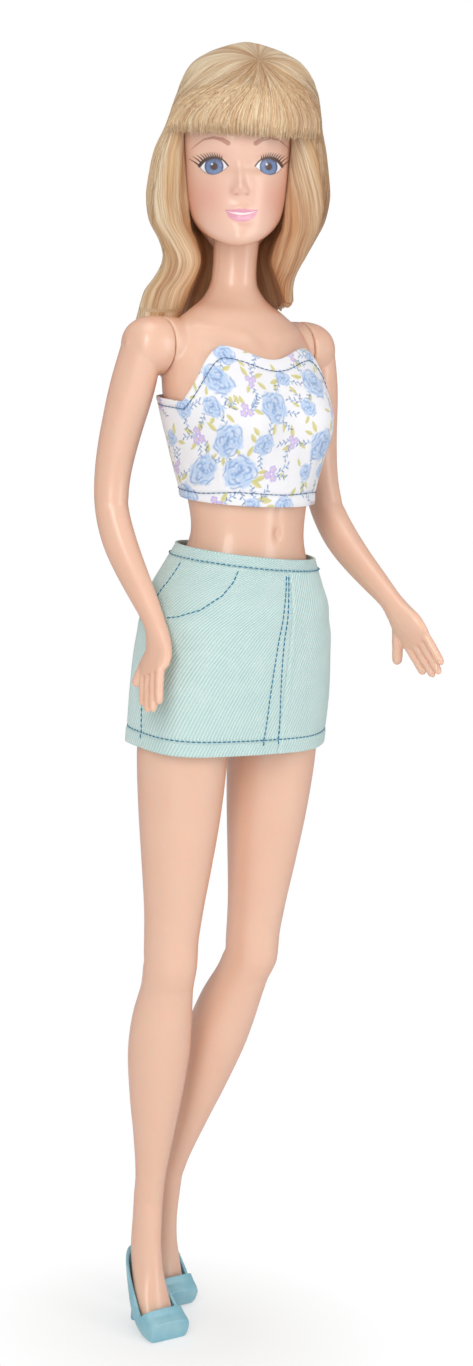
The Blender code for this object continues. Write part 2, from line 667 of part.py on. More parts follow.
def arm(side, shoulder):
    label = "left" if side > 0 else "right"
    dome = [(SHOULDER_RADIUS * r, GAP + a * SHOULDER_CAP_WIDTH) for a, r in SHOULDER_CAP_SHARES[:-1]]
    whole = revolve(f"{label}_arm", dome, (side, 0, 0), SKIN, shoulder)
    places = []
    for low, high in zip(ARM_SHARES, ARM_SHARES[1:]):
        places.extend(steps(low[0], high[0], ROWS_PER_STATION)[:-1])
    rows = [arm_row(a, side) for a in places + [ARM_SHARES[-1][0]]]
    across = Vector((1, 0, 0))
    length = limb_loops(rows, LIMB_SIDES, across, ARM_SQUARENESS)
    boolean(whole, cutter_loft(f"{label}_arm_length", length, shoulder), "UNION")
    wrist, palm_end = arm_row(WRIST, side)[0], arm_row(PALM_END, side)[0]
    along = (palm_end - wrist).normalized()
    deep = along.cross((across - along * along.x).normalized())
    middle = (len(FINGER_LENGTH_SHARES) - 1) / 2
    for i, share in enumerate(FINGER_LENGTH_SHARES):
        root = palm_end - along * FINGER_RADIUS * 2 + deep * (i - middle) * FINGER_SPACING
        tip = finger(f"{label}_finger_{i}", root, along, FINGER_LENGTH * share, FINGER_RADIUS, shoulder)
        boolean(whole, tip, "UNION")
    root = arm_row(THUMB_ROOT, side)[0] - deep * FINGER_SPACING
    lean = (along - deep * THUMB_SPREAD_SHARE).normalized()
    boolean(whole, finger(f"{label}_thumb", root, lean, THUMB_LENGTH, THUMB_RADIUS, shoulder), "UNION")
    bore = SHOULDER_PEG_RADIUS + GAP
    outline = [(bore, -OVERRUN), (bore, SHOULDER_PEG_DEPTH + GAP)]
    boolean(whole, cutter_turned(f"{label}_arm_bore", outline, (side, 0, 0), shoulder), "DIFFERENCE")
    head_end = -WALL - GAP
    outline = [
        (SHOULDER_PEG_HEAD_RADIUS, head_end - SHOULDER_PEG_HEAD_LENGTH),
        (SHOULDER_PEG_HEAD_RADIUS, head_end),
        (SHOULDER_PEG_RADIUS, head_end),
        (SHOULDER_PEG_RADIUS, SHOULDER_PEG_DEPTH),
    ]
    revolve(f"{label}_shoulder_peg", outline, (side, 0, 0), CORE, shoulder)


def knee_from_hip(side):
    drop = HIP_HEIGHT - KNEE_HEIGHT
    return Vector((-side * drop * math.tan(THIGH_TILT_IN), 0, -drop))


def thigh_row(share, side):
    width, depth, forward = sample(THIGH_SHARES, share)
    place = knee_from_hip(side) * share + Vector((0, -forward * THIGH_RADIUS, 0))
    return place, width * THIGH_RADIUS, depth * THIGH_RADIUS


def thigh_loops(start, end, side, count):
    return limb_loops([thigh_row(share, side) for share in steps(start, end, count)], LIMB_SIDES)


def thigh(side, hip):
    label = "left" if side > 0 else "right"
    knee_share = 1 - KNEE_SLEEVE_HALF / (HIP_HEIGHT - KNEE_HEIGHT)
    base = HIP_INNER_FACE - HIP_OFFSET
    dome = [(HIP_DOME_RADIUS, base - GAP * 2)]
    dome += [(HIP_DOME_RADIUS * r, base + a * HIP_DOME_WIDTH) for a, r in HIP_DOME_SHARES[1:-1]]
    whole = revolve(f"{label}_thigh", dome, (side, 0, 0), SKIN, hip, sides=BODY_SIDES)
    length = thigh_loops(THIGH_SHARES[0][0], knee_share, side, 12)
    boolean(whole, cutter_loft(f"{label}_thigh_length", length, hip), "UNION")
    room = HIP_DOME_RADIUS + GAP
    outline = [(room, -HIP_OFFSET - OVERRUN), (room, base)]
    crotch = cutter_turned(f"{label}_crotch_room", outline, (side, 0, 0), hip, sides=BODY_SIDES)
    boolean(whole, crotch, "DIFFERENCE")
    bore = thigh_core_loops(side, GAP)
    boolean(whole, cutter_loft(f"{label}_thigh_bore", bore, hip), "DIFFERENCE")
    eye_outline = [
        (CORE_EYE_RADIUS + GAP, base - OVERRUN),
        (CORE_EYE_RADIUS + GAP, base + CORE_EYE_WIDTH + GAP * 2),
    ]
    boolean(whole, cutter_turned(f"{label}_eye_room", eye_outline, (side, 0, 0), hip), "DIFFERENCE")
    thigh_core(side, hip, label, base)
    sleeve_top = knee_share + GAP / (HIP_HEIGHT - KNEE_HEIGHT)
    knee_skin(side, hip, label, sleeve_top)


def thigh_core_loops(side, outward):
    """The rod of the inner thigh, or with a clearance outward the bore that it lies in."""
    knee = knee_from_hip(side)
    radius = CORE_RADIUS + outward
    reach = 1 + outward * 10 / (HIP_HEIGHT - KNEE_HEIGHT)
    rows = [(knee * share, radius, radius) for share in steps(-outward / KNEE_HEIGHT, reach, 3)]
    return limb_loops(rows, LIMB_SIDES // 2)


def thigh_core(side, hip, label, base):
    core = loft(f"{label}_thigh_core", thigh_core_loops(side, 0.0), CORE, hip)
    eye = [(CORE_EYE_RADIUS, base + GAP), (CORE_EYE_RADIUS, base + GAP + CORE_EYE_WIDTH)]
    boolean(core, cutter_turned(f"{label}_core_eye", eye, (side, 0, 0), hip), "UNION")
    knee = knee_from_hip(side)
    half = KNEE_FORK_WIDTH / 2
    fork = [(KNEE_FORK_RADIUS, -half), (KNEE_FORK_RADIUS, half)]
    boolean(core, cutter_turned(f"{label}_fork_blank", fork, (1, 0, 0), hip, knee), "UNION")
    peg = HIP_PEG_RADIUS + GAP
    hole = [(peg, base - OVERRUN), (peg, base + CORE_EYE_WIDTH + GAP * 5)]
    boolean(core, cutter_turned(f"{label}_core_peg_hole", hole, (side, 0, 0), hip), "DIFFERENCE")
    slot_half = KNEE_TONGUE_WIDTH / 2 + GAP
    slot = [(KNEE_FORK_RADIUS + GAP * 3, -slot_half), (KNEE_FORK_RADIUS + GAP * 3, slot_half)]
    boolean(core, cutter_turned(f"{label}_fork_slot", slot, (1, 0, 0), hip, knee), "DIFFERENCE")
    pin = KNEE_PIN_RADIUS + GAP
    pin_hole = [(pin, -half - OVERRUN), (pin, half + OVERRUN)]
    boolean(core, cutter_turned(f"{label}_fork_pin_hole", pin_hole, (1, 0, 0), hip, knee), "DIFFERENCE")
    outline = [(KNEE_PIN_RADIUS, -half), (KNEE_PIN_RADIUS, half)]
    revolve(f"{label}_knee_pin", outline, (1, 0, 0), CORE, hip, knee)


def knee_skin(side, hip, label, top_share):
    """The part of the soft leg skin that folds as the knee bends."""
    tilt = shin_tilt(side)
    knee = knee_from_hip(side)
    rows = []
    for share in steps(top_share, 1.0, 3):
        rows.append(thigh_row(share, side))
    bend = Matrix.Rotation(tilt, 3, "X")
    end = (KNEE_SLEEVE_HALF - GAP) / SHIN_LENGTH
    for share in steps(0.0, end, 3)[1:]:
        place, width, depth = shin_row(share, side)
        rows.append((knee + bend @ place, width, depth))
    outer = limb_loops(rows, LIMB_SIDES)
    rows = [(place, width - KNEE_SKIN_WALL, depth - KNEE_SKIN_WALL) for place, width, depth in rows]
    inner = limb_loops(rows, LIMB_SIDES, power=KNEE_SKIN_SQUARENESS)
    loft(f"{label}_knee_skin", outer + inner[::-1], SKIN, hip, periodic=True)


def shin_tilt(side):
    return LEFT_SHIN_TILT_BACK if side > 0 else RIGHT_SHIN_TILT_BACK


def shin_row(share, side):
    width, depth, back = sample(SHIN_SHARES, share)
    along = Vector((-side * math.sin(SHIN_TILT_IN), 0, -math.cos(SHIN_TILT_IN)))
    place = along * (SHIN_LENGTH * share) + Vector((0, back * CALF_RADIUS, 0))
    return place, width * CALF_RADIUS, depth * CALF_RADIUS


def ankle_frame(side, knee, label):
    """A frame in the ankle, level when the right foot stands on its toes."""
    place = shin_row(1.0, side)[0]
    return empty(f"{label}_ankle", place, knee, (-RIGHT_SHIN_TILT_BACK, 0, 0))


def foot_place(forward, down):
    """A place on the foot's path in the ankle's frame."""
    return Vector((0, -forward * FOOT_REACH, -down * FOOT_DROP))


def foot_rows(side):
    """The foot's rows in the shin's frame."""
    level = Matrix.Rotation(-RIGHT_SHIN_TILT_BACK, 3, "X")
    ankle = shin_row(1.0, side)[0]
    rows = []
    curve = numbered(FOOT_SHARES)
    for at in steps(0, len(curve) - 1, 2 * (len(curve) - 1))[1:]:
        forward, down, width, depth = sample(curve, at)
        place = ankle + level @ foot_place(forward, down)
        rows.append((place, width * FOOT_HALF_WIDTH, depth * FOOT_HALF_DEPTH))
    return rows


def shin(side, knee):
    label = "left" if side > 0 else "right"
    start = KNEE_SLEEVE_HALF / SHIN_LENGTH
    rows = [shin_row(share, side) for share in steps(start, 1.0, 12)]
    whole = loft(f"{label}_shin", limb_loops(rows + foot_rows(side), LIMB_SIDES), SKIN, knee)
    bore = limb_loops(shin_core_rows(side, KNEE_FORK_RADIUS, GAP), LIMB_SIDES // 2)
    boolean(whole, cutter_loft(f"{label}_shin_bore", bore, knee), "DIFFERENCE")
    shin_core(side, knee, label)


def shin_along(side):
    return Vector((-side * math.sin(SHIN_TILT_IN), 0, -math.cos(SHIN_TILT_IN)))


def shin_core_rows(side, start, outward):
    """The tapered rod of the inner shin, or with a clearance outward the bore that it lies in."""
    rows = []
    end = SHIN_LENGTH * SHIN_CORE_SHARE + outward
    for share in steps(0.0, 1.0, 4):
        radius = CORE_RADIUS * (1 - CORE_TAPER_SHARE * share) + outward
        rows.append((shin_along(side) * (start + (end - start) * share), radius, radius))
    return rows


def shin_core(side, knee, label):
    start = KNEE_FORK_RADIUS + GAP * 4
    half = KNEE_TONGUE_WIDTH / 2
    rows = shin_core_rows(side, start, 0.0)
    rows[0] = (rows[0][0], half, CORE_RADIUS * CORE_ROOT_SHARE)
    core = loft(f"{label}_shin_core", limb_loops(rows, LIMB_SIDES // 2), CORE, knee)
    tongue = [(KNEE_FORK_RADIUS, -half), (KNEE_FORK_RADIUS, half)]
    boolean(core, cutter_turned(f"{label}_tongue", tongue, (1, 0, 0), knee), "UNION")
    neck = half - GAP
    far = shin_along(side) * start * TONGUE_NECK_SHARE
    bridge = limb_loops([(Vector((0, 0, 0)), neck, neck), (far, neck, neck)], LIMB_SIDES // 2)
    boolean(core, cutter_loft(f"{label}_tongue_neck", bridge, knee), "UNION")
    pin = KNEE_PIN_RADIUS + GAP
    hole = [(pin, -half - OVERRUN), (pin, half + OVERRUN)]
    boolean(core, cutter_turned(f"{label}_tongue_hole", hole, (1, 0, 0), knee), "DIFFERENCE")


def hip_peg(side):
    label = "left" if side > 0 else "right"
    outer_end = HIP_INNER_FACE + CORE_EYE_WIDTH
    outline = [(HIP_PEG_RADIUS, HIP_PEG_INNER_END), (HIP_PEG_RADIUS, outer_end)]
    revolve(f"{label}_hip_peg", outline, (side, 0, 0), CORE, DOLL, (0, HIP_SET_BACK, HIP_HEIGHT))


def head_point(angle, at, outward=0.0):
    """A point of the head's skin at an angle round it and a place along its rows."""
    front_height, side_height, back_height, half_width, front, back = sample(numbered(HEAD_SHARES), at)
    sine = math.sin(angle)
    end_height = front_height if sine < 0 else back_height
    top = len(HEAD_SHARES) - 1
    tilt = max(0.0, (at - HEAD_BROW_ROW) / (top - HEAD_BROW_ROW)) * math.pi / 2
    aside, upward = outward * math.cos(tilt), outward * math.sin(tilt)
    height = (end_height * sine**2 + side_height * (1 - sine**2)) * HEAD_HEIGHT
    x = (half_width * HEAD_HALF_WIDTH + aside) * math.cos(angle)
    y = ((front if sine < 0 else back) * HEAD_HALF_DEPTH + aside) * sine
    if sine < 0:
        for side, level, depth, width, spread in FACE_SHARES:
            across = (x / HEAD_HALF_WIDTH - side) / width
            up = (height / HEAD_HEIGHT - level) / spread
            y -= depth * HEAD_HALF_DEPTH * math.exp(-(across**2 + up**2))
    return Vector((x, y, height + upward))


def head_loops(outward):
    angles = steps(0.0, math.tau, BODY_SIDES)[:-1]
    last = len(HEAD_SHARES) - 1
    return [[head_point(a, at, outward) for a in angles] for at in steps(last, 0, last * 2)]


def head_shell(neck):
    angles = steps(0.0, math.tau, BODY_SIDES)[:-1]
    last = len(HEAD_SHARES) - 1
    outer = head_loops(0.0)
    rim = NECK_RADIUS + HEAD_RIM_GAP
    rim_loop = [Vector((rim * math.cos(a), rim * math.sin(a), head_point(a, 0).z)) for a in angles]
    inner = [[head_point(a, at, -HEAD_WALL) for a in angles] for at in steps(4, last - 1, last - 5)]
    loft("head_shell", outer + [rim_loop] + inner, HEAD_SKIN, neck)


def hair_edge(angle):
    """The height share where the cap of hair ends: high over the face, low at the sides and back."""
    from_front = abs((angle + math.pi / 2 + math.pi) % math.tau - math.pi)
    share = (from_front - HAIR_FACE_HALF_ANGLE) / HAIR_FACE_BLEND
    share = min(max(share, 0.0), 1.0)
    share = share * share * (3 - 2 * share)
    return HAIR_FACE_SHARE + (HAIR_CAP_END_SHARE - HAIR_FACE_SHARE) * share


def hair_point(angle, level, inward=0.0):
    """A point of the hair's outer face, or inward of it, at an angle and a share of the head's height."""
    centre, half_width, front, back = sample(HAIR_SHARES, level)
    width = half_width * HEAD_HALF_WIDTH
    depth = (front if math.sin(angle) < 0 else back) * HEAD_HALF_DEPTH
    if inward:
        room = NECK_RADIUS + HANG_NECK_ROOM
        width = max(width - inward, room)
        depth = max(depth - inward, room)
    x = centre * HEAD_HALF_WIDTH + width * math.cos(angle)
    return Vector((x, depth * math.sin(angle), level * HEAD_HEIGHT))


def head_row(angle, height):
    """The place along the head's rows where its skin has that height."""
    low, high = HEAD_JAW_ROW, len(HEAD_SHARES) - 1
    for _ in range(LIMB_SIDES):
        middle = (low + high) / 2
        if head_point(angle, middle).z < height:
            low = middle
        else:
            high = middle
    return (low + high) / 2


def hair_crown(neck):
    front = -math.pi / 2
    side = HAIR_FACE_HALF_ANGLE + HAIR_FACE_BLEND
    angles = [front + a for a in steps(-HAIR_FACE_HALF_ANGLE, HAIR_FACE_HALF_ANGLE, LIMB_SIDES // 2)]
    angles += [front + a for a in steps(side, math.tau - side, BODY_SIDES - LIMB_SIDES // 4)]
    top = HAIR_SHARES[-1][0]
    outer, inner = [], []
    for share in steps(0.0, 1.0, CROWN_ROWS):
        rise = math.sin(share * math.pi / 2)
        levels = [hair_edge(a) + (top - hair_edge(a)) * rise for a in angles]
        outer.append([hair_point(a, level) for a, level in zip(angles, levels)])
        levels = [hair_edge(a) + (HAIR_INNER_TOP_SHARE - hair_edge(a)) * rise for a in angles]
        rows = [head_row(a, level * HEAD_HEIGHT) for a, level in zip(angles, levels)]
        inner.append([head_point(a, at, -HEAD_WALL / 2) for a, at in zip(angles, rows)])
    for point, edge in zip(inner[0], outer[0]):
        point.z = edge.z
    crown = loft("hair_crown", outer[::-1] + inner, HAIR, neck)
    boolean(crown, cutter_loft("crown_head_room", head_loops(GAP), neck), "DIFFERENCE")


def strip(name, columns, spec, parent):
    """A closed sheet: each column is its outer points followed by its inner points turned back."""
    return loft(name, [outer + inner[::-1] for outer, inner in columns], spec, parent)


def fringe(neck):
    columns = []
    reach = HAIR_FACE_HALF_ANGLE - GAP / HEAD_HALF_WIDTH
    for angle in steps(-math.pi / 2 - reach, -math.pi / 2 + reach, 16):
        top = HAIR_FACE_SHARE - GAP / HEAD_HEIGHT
        low = FRINGE_EDGE_SHARE - FRINGE_SLOPE_SHARE * math.cos(angle)
        outer, inner = [], []
        for level in steps(top, low, 4):
            outer.append(hair_point(angle, level))
            inner.append(head_point(angle, head_row(angle, level * HEAD_HEIGHT), -HEAD_WALL / 2))
        columns.append((outer, inner))
    made = strip("hair_fringe", columns, HAIR, neck)
    boolean(made, cutter_loft("fringe_head_room", head_loops(GAP), neck), "DIFFERENCE")


def hanging_hair(name, start, end, neck):
    """The hair below the cap over a range of angles; its tips hang lower towards the right shoulder."""
    columns = []
    top = HAIR_CAP_END_SHARE - GAP / HEAD_HEIGHT
    for angle in steps(start, end, 10):
        across = min(max((angle - math.pi / 2) / (HAIR_BACK_HALF_ANGLE * 2) + 1 / 2, 0.0), 1.0)
        low = -(LEFT_HANG_DROP + (RIGHT_HANG_DROP - LEFT_HANG_DROP) * across) / HEAD_HEIGHT
        from_front = abs((angle + math.pi / 2 + math.pi) % math.tau - math.pi)
        from_edge = (from_front - HAIR_FACE_HALF_ANGLE - HAIR_FACE_BLEND) / HANG_EDGE_SPREAD
        thick = HANG_THICKNESS + (HANG_EDGE_THICKNESS - HANG_THICKNESS) * math.exp(-(from_edge**2))
        outer, inner = [], []
        for share in steps(0.0, 1.0, 6):
            level = top + (low - top) * share
            outer.append(hair_point(angle, level))
            inner.append(hair_point(angle, level, thick * (1 - HANG_TAPER_SHARE * share)))
        columns.append((outer, inner))
    strip(name, columns, HAIR, neck)


def hair(neck):
    hair_crown(neck)
    fringe(neck)
    face = HAIR_FACE_HALF_ANGLE + HAIR_FACE_BLEND
    back = HAIR_BACK_HALF_ANGLE
    seam = GAP / HEAD_HALF_WIDTH
    front = -math.pi / 2
    behind = math.pi / 2
    hanging_hair("hair_left_lock", front + face, behind - back - seam, neck)
    hanging_hair("hair_back", behind - back, behind + back, neck)
    hanging_hair("hair_right_lock", behind + back + seam, front - face + math.tau, neck)


def wrap_angles(overlap, count):
    """Angles of a wrapped cloth, from its under edge behind, once round, to its upper edge."""
    start = math.pi / 2 - overlap / 2
    return steps(start, start + math.tau + overlap, count)


def lap_lift(angle, overlap):
    """How far the upper edge stands off so that the under edge and two strips fit beneath it."""
    start = math.pi / 2 - overlap / 2
    over = (angle - start - math.tau) / (overlap * LAP_RISE_SHARE) + 1
    over = min(max(over, 0.0), 1.0)
    return (CLOTH_THICKNESS + 2 * FASTENER_THICKNESS + 3 * GAP) * over * over * (3 - 2 * over)


def wrapped_cloth(name, point, overlap, rows, spec):
    columns = []
    for angle in wrap_angles(overlap, CLOTH_COLUMNS):
        lift = CLOTH_CLEARANCE + lap_lift(angle, overlap)
        inner = [point(angle, share, lift) for share in rows]
        outer = [point(angle, share, lift + CLOTH_THICKNESS) for share in rows]
        columns.append((outer, inner))
    strip(name, columns, spec, DOLL)


def lap_strips(label, point, overlap, rows):
    """The loop strip on the under edge and the hook strip beneath the upper edge."""
    for name, level in ((f"{label}_loop_strip", 0), (f"{label}_hook_strip", 1)):
        low = CLOTH_CLEARANCE + CLOTH_THICKNESS + GAP + level * (FASTENER_THICKNESS + GAP)
        columns = []
        half = overlap * STRIP_HALF_SHARE
        for angle in steps(math.pi / 2 - half, math.pi / 2 + half, 4):
            inner = [point(angle, share, low) for share in rows]
            outer = [point(angle, share, low + FASTENER_THICKNESS) for share in rows]
            columns.append((outer, inner))
        strip(name, columns, FASTENER, DOLL)


def top_edge_height(angle):
    """The top's upper edge: two peaks over the bust, a dip between them, and level under the arms."""
    x = math.cos(angle) * HIP_HALF_WIDTH
    if math.sin(angle) > 0:
        return TOP_SIDE_HEIGHT
    across = abs(x) / TOP_PEAK_SPREAD
    if across < 1:
        rise = 0.5 - 0.5 * math.cos(math.pi * across)
        return TOP_DIP_HEIGHT + (TOP_PEAK_HEIGHT - TOP_DIP_HEIGHT) * rise
    reach = HIP_HALF_WIDTH * TOP_EDGE_REACH_SHARE - TOP_PEAK_SPREAD
    fall = min((abs(x) - TOP_PEAK_SPREAD) / reach, 1.0)
    return TOP_PEAK_HEIGHT + (TOP_SIDE_HEIGHT - TOP_PEAK_HEIGHT) * fall


def top_point(angle, share, outward):
    height = TOP_HEM_HEIGHT + (top_edge_height(angle) - TOP_HEM_HEIGHT) * share
    return torso_point(angle, height, outward + TOP_FLARE * (1 - share) ** 2)


def skirt_point(angle, share, outward):
    half_width, front, back, power, forward = sample(SKIRT_SHARES, share)
    cosine, sine = wave(angle, power)
    fold = SKIRT_FOLD_DEPTH * share**2 * math.cos(SKIRT_FOLDS * angle)
    depth = (front if sine < 0 else back) * SKIRT_HALF_DEPTH
    x = (half_width * SKIRT_HALF_WIDTH + outward + fold) * cosine
    y = (depth + outward + fold) * sine - forward * SKIRT_HALF_DEPTH
    height = WAISTBAND_TOP_HEIGHT - SKIRT_LENGTH * share
    height -= SKIRT_SLOPE * x * (1 - share)
    return Vector((x, y, height))


def clothes():
    overlap = FASTENER_WIDTH / HIP_HALF_DEPTH
    wrapped_cloth("crop_top", top_point, overlap, steps(0.0, 1.0, 10), TOP_CLOTH)
    lap_strips("top", top_point, overlap, steps(*TOP_STRIP_SHARES, 6))
    band = WAISTBAND_DEPTH / SKIRT_LENGTH
    below = band + GAP / SKIRT_LENGTH
    wrapped_cloth("skirt", skirt_point, overlap, steps(below, 1.0, 8), SKIRT_CLOTH)
    wrapped_cloth("skirt_waistband", skirt_point, overlap, (0.0, band), SKIRT_CLOTH)
    lap_strips("skirt", skirt_point, overlap, steps(below, SKIRT_FASTENER_SHARE, 3))


def shoe_loops(grow, last):
    loops = []
    curve = numbered(SHOE_SHARES)
    rows = []
    powers = []
    for at in steps(0, last, 14):
        forward, down, width, depth, power = sample(curve, at)
        half_depth = depth * FOOT_HALF_DEPTH + SHOE_SIDE_ROOM + grow
        rows.append((foot_place(forward, down), width * SHOE_TOE_WIDTH + grow, half_depth))
        powers.append(power)
    for i, power in enumerate(powers):
        loops.append(limb_loops(rows, LIMB_SIDES, power=power)[i])
    return loops


def shoe(side, ankle):
    label = "left" if side > 0 else "right"
    last = len(SHOE_SHARES) - 1
    whole = loft(f"{label}_shoe", shoe_loops(SHOE_WALL, last), SHOE, ankle)
    seat = (0, HEEL_SET_BACK, 0)
    heel = [(HEEL_TIP_RADIUS, -ANKLE_HEIGHT - GAP * 2), (HEEL_SEAT_RADIUS, -HEEL_SEAT_DROP)]
    boolean(whole, cutter_turned(f"{label}_heel", heel, (0, 0, 1), ankle, seat), "UNION")
    hollow = shoe_loops(0.0, last - SHOE_TOE_ROWS)
    boolean(whole, cutter_loft(f"{label}_shoe_hollow", hollow, ankle), "DIFFERENCE")
    boolean(whole, shoe_mouth(label, ankle), "DIFFERENCE")
    wide = SHOE_TOE_WIDTH + OVERRUN
    low = (-wide, -SHOE_TOE_REACH - OVERRUN, -ANKLE_HEIGHT - OVERRUN)
    high = (wide, FOOT_HALF_DEPTH + OVERRUN, -ANKLE_HEIGHT)
    boolean(whole, cutter_box(f"{label}_floor", low, high, ankle), "DIFFERENCE")


def shoe_mouth(label, ankle):
    """What is cut away above the line from the back of the heel down to the vamp."""
    counter = Vector((0, FOOT_HALF_DEPTH, -SHOE_BACK_DROP))
    vamp = Vector((0, -SHOE_VAMP_REACH, -SHOE_VAMP_DROP))
    slope = (counter - vamp).normalized()
    end = counter + slope * OVERRUN * 2
    up = Vector((0, -slope.z, slope.y)) * SHOE_TOE_REACH * 2
    wide = SHOE_TOE_WIDTH + OVERRUN
    loops = []
    for x in (-wide, wide):
        shift = Vector((x, 0, 0))
        loops.append([shift + point for point in (vamp, end, end + up, vamp + up)])
    return cutter_loft(f"{label}_shoe_mouth", loops, ankle)


def leg(side):
    label = "left" if side > 0 else "right"
    hip = empty(f"{label}_hip", hip_place(side), DOLL)
    knee = empty(f"{label}_knee", knee_from_hip(side), hip, (shin_tilt(side), 0, 0))
    thigh(side, hip)
    shin(side, knee)
    shoe(side, ankle_frame(side, knee, label))
    hip_peg(side)


def doll():
    torso_solid("torso_front", False)
    torso_solid("torso_back", True)
    neck_knob()
    neck = empty("neck_turn", (0, TORSO_LEAN, CHIN_HEIGHT), DOLL, (0, HEAD_TILT, HEAD_TURN))
    head_shell(neck)
    hair(neck)
    arm(-1, empty("right_shoulder", shoulder_place(-1), DOLL))
    arm(1, empty("left_shoulder", shoulder_place(1), DOLL, (-LEFT_ARM_SWING, 0, 0)))
    leg(-1)
    leg(1)
    clothes()


clear_scene()
PARTS = collection("fashion_doll")
CUTTERS = collection("cutters")
DOLL = empty("doll", (0, 0, -WAIST_HEIGHT), None)
doll()
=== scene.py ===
# Fashion doll in a strapless printed top, a mint twill mini skirt and pale blue pumps.
# Metres, +Z up. Sizes are heights above the soles; the frame's origin is in the waist.

import math

import bmesh
import bpy
import numpy as np
from mathutils import Matrix, Vector


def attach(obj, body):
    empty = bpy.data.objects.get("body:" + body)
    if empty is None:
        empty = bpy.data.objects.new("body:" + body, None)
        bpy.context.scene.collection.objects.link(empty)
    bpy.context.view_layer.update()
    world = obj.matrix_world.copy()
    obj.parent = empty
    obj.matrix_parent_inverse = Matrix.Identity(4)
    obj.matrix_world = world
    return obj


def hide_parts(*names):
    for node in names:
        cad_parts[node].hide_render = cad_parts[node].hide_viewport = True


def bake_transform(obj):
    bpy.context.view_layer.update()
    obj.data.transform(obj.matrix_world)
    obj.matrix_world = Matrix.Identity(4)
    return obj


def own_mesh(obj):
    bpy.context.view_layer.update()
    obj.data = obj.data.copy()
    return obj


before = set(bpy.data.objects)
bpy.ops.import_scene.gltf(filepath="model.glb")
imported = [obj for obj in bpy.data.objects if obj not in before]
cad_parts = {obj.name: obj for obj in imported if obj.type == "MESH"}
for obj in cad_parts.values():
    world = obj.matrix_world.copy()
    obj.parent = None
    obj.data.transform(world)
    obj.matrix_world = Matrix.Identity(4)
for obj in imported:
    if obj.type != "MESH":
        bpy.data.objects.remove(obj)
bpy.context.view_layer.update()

MM = 0.001
TAU = math.tau
FRONT = -math.pi / 2
LABELS = {-1: "right", 1: "left"}

# ---------------------------------------------------------------- sizes shared with the frame
HIP_HEIGHT = 0.152
KNEE_HEIGHT = 0.091
ANKLE_HEIGHT = 0.0308
TORSO_LENGTH = 0.114
CROTCH_HEIGHT = HIP_HEIGHT - 0.0105
NECK_TOP_HEIGHT = CROTCH_HEIGHT + TORSO_LENGTH
WAIST_HEIGHT = CROTCH_HEIGHT + TORSO_LENGTH * 5 / 12
BUST_HEIGHT = NECK_TOP_HEIGHT - 0.0390
SHOULDER_HEIGHT = NECK_TOP_HEIGHT - 0.0254
CHIN_HEIGHT = NECK_TOP_HEIGHT - 0.0025
GAP = 0.0003
OVERRUN = 0.004

HIP_HALF_WIDTH = 0.0218
HIP_HALF_DEPTH = 0.0153
TORSO_LEAN = 0.0126
HIP_SEAM_HEIGHT = 0.13
NAVEL_HEIGHT = 0.1915
COLLAR_HEIGHT = 0.2335
THROAT_HEIGHT = 0.2325
BUST_SPREAD = 0.0105
BUST_DEPTH = 0.0048
BUST_SIZE = 0.0062
NECK_RADIUS = 0.0051
NECK_WIDTH_SHARE = NECK_RADIUS / HIP_HALF_WIDTH
NECK_DEPTH_SHARE = NECK_RADIUS / HIP_HALF_DEPTH
TORSO_SHARES = (
    (0.000, 0.20, 0.24, 0.24, 0.12),
    (0.022, 0.36, 0.46, 0.50, 0.12),
    (0.075, 0.62, 0.66, 0.78, 0.12),
    (0.128, 0.90, 0.74, 0.94, 0.14),
    (0.180, 0.99, 0.86, 1.00, 0.16),
    (0.225, 0.99, 0.94, 1.00, 0.16),
    (0.311, 0.85, 0.89, 0.89, 0.13),
    (0.373, 0.70, 0.80, 0.78, 0.06),
    (0.425, 0.62, 0.72, 0.71, 0.03),
    (0.496, 0.66, 0.77, 0.77, 0.12),
    (0.575, 0.77, 0.85, 0.85, 0.27),
    (0.662, 0.88, 0.88, 0.90, 0.44),
    (0.724, 0.89, 0.82, 0.87, 0.59),
    (0.776, 0.86, 0.70, 0.76, 0.71),
    (0.820, 0.74, 0.58, 0.62, 0.79),
    (0.851, 0.52, 0.49, 0.51, 0.83),
    (0.873, 0.34, 0.42, 0.42, 0.91),
    (0.908, NECK_WIDTH_SHARE, NECK_DEPTH_SHARE, NECK_DEPTH_SHARE, 0.98),
    (1.000, NECK_WIDTH_SHARE, NECK_DEPTH_SHARE, NECK_DEPTH_SHARE, 1.00),
)

SHOULDER_HALF_SPAN = 0.0194
SHOULDER_SET_BACK = 0.0118
SHOULDER_RADIUS = 0.0065
SHOULDER_CAP_WIDTH = 0.0088
SHOULDER_CAP_SHARES = ((0.0, 1.0), (0.30, 0.985), (0.62, 0.86), (0.86, 0.57), (1.0, 0.0))

ARM_CENTRE_OUT = 0.0048
UPPER_ARM_LENGTH = 0.0355
FOREARM_LENGTH = 0.0315
PALM_LENGTH = 0.0105
UPPER_ARM_RADIUS = 0.0046
UPPER_ARM_TILT_BACK = math.radians(7)
UPPER_ARM_TILT_OUT = {-1: math.radians(3.6), 1: math.radians(4.5)}
FOREARM_TILT_FORWARD = math.radians(37)
FOREARM_TILT_OUT = {-1: math.radians(-2), 1: math.radians(2.6)}
HAND_TILT_FORWARD = math.radians(22)
HAND_TILT_OUT = math.radians(18)
ARM_SWING = {-1: 0.0, 1: math.radians(16)}
ARM_SHARES = (
    (0.00, 0.86, 1.10),
    (0.25, 1.00, 1.12),
    (0.55, 0.92, 1.00),
    (0.85, 0.80, 0.90),
    (1.05, 0.76, 0.86),
    (1.30, 0.75, 0.84),
    (1.65, 0.60, 0.68),
    (1.92, 0.48, 0.56),
    (2.10, 0.50, 0.66),
    (2.45, 0.42, 1.00),
    (2.80, 0.34, 1.02),
    (3.00, 0.24, 0.88),
)
FINGER_LENGTH = 0.0108
FINGER_RADIUS = 0.00108
FINGER_SPACING = 0.00206
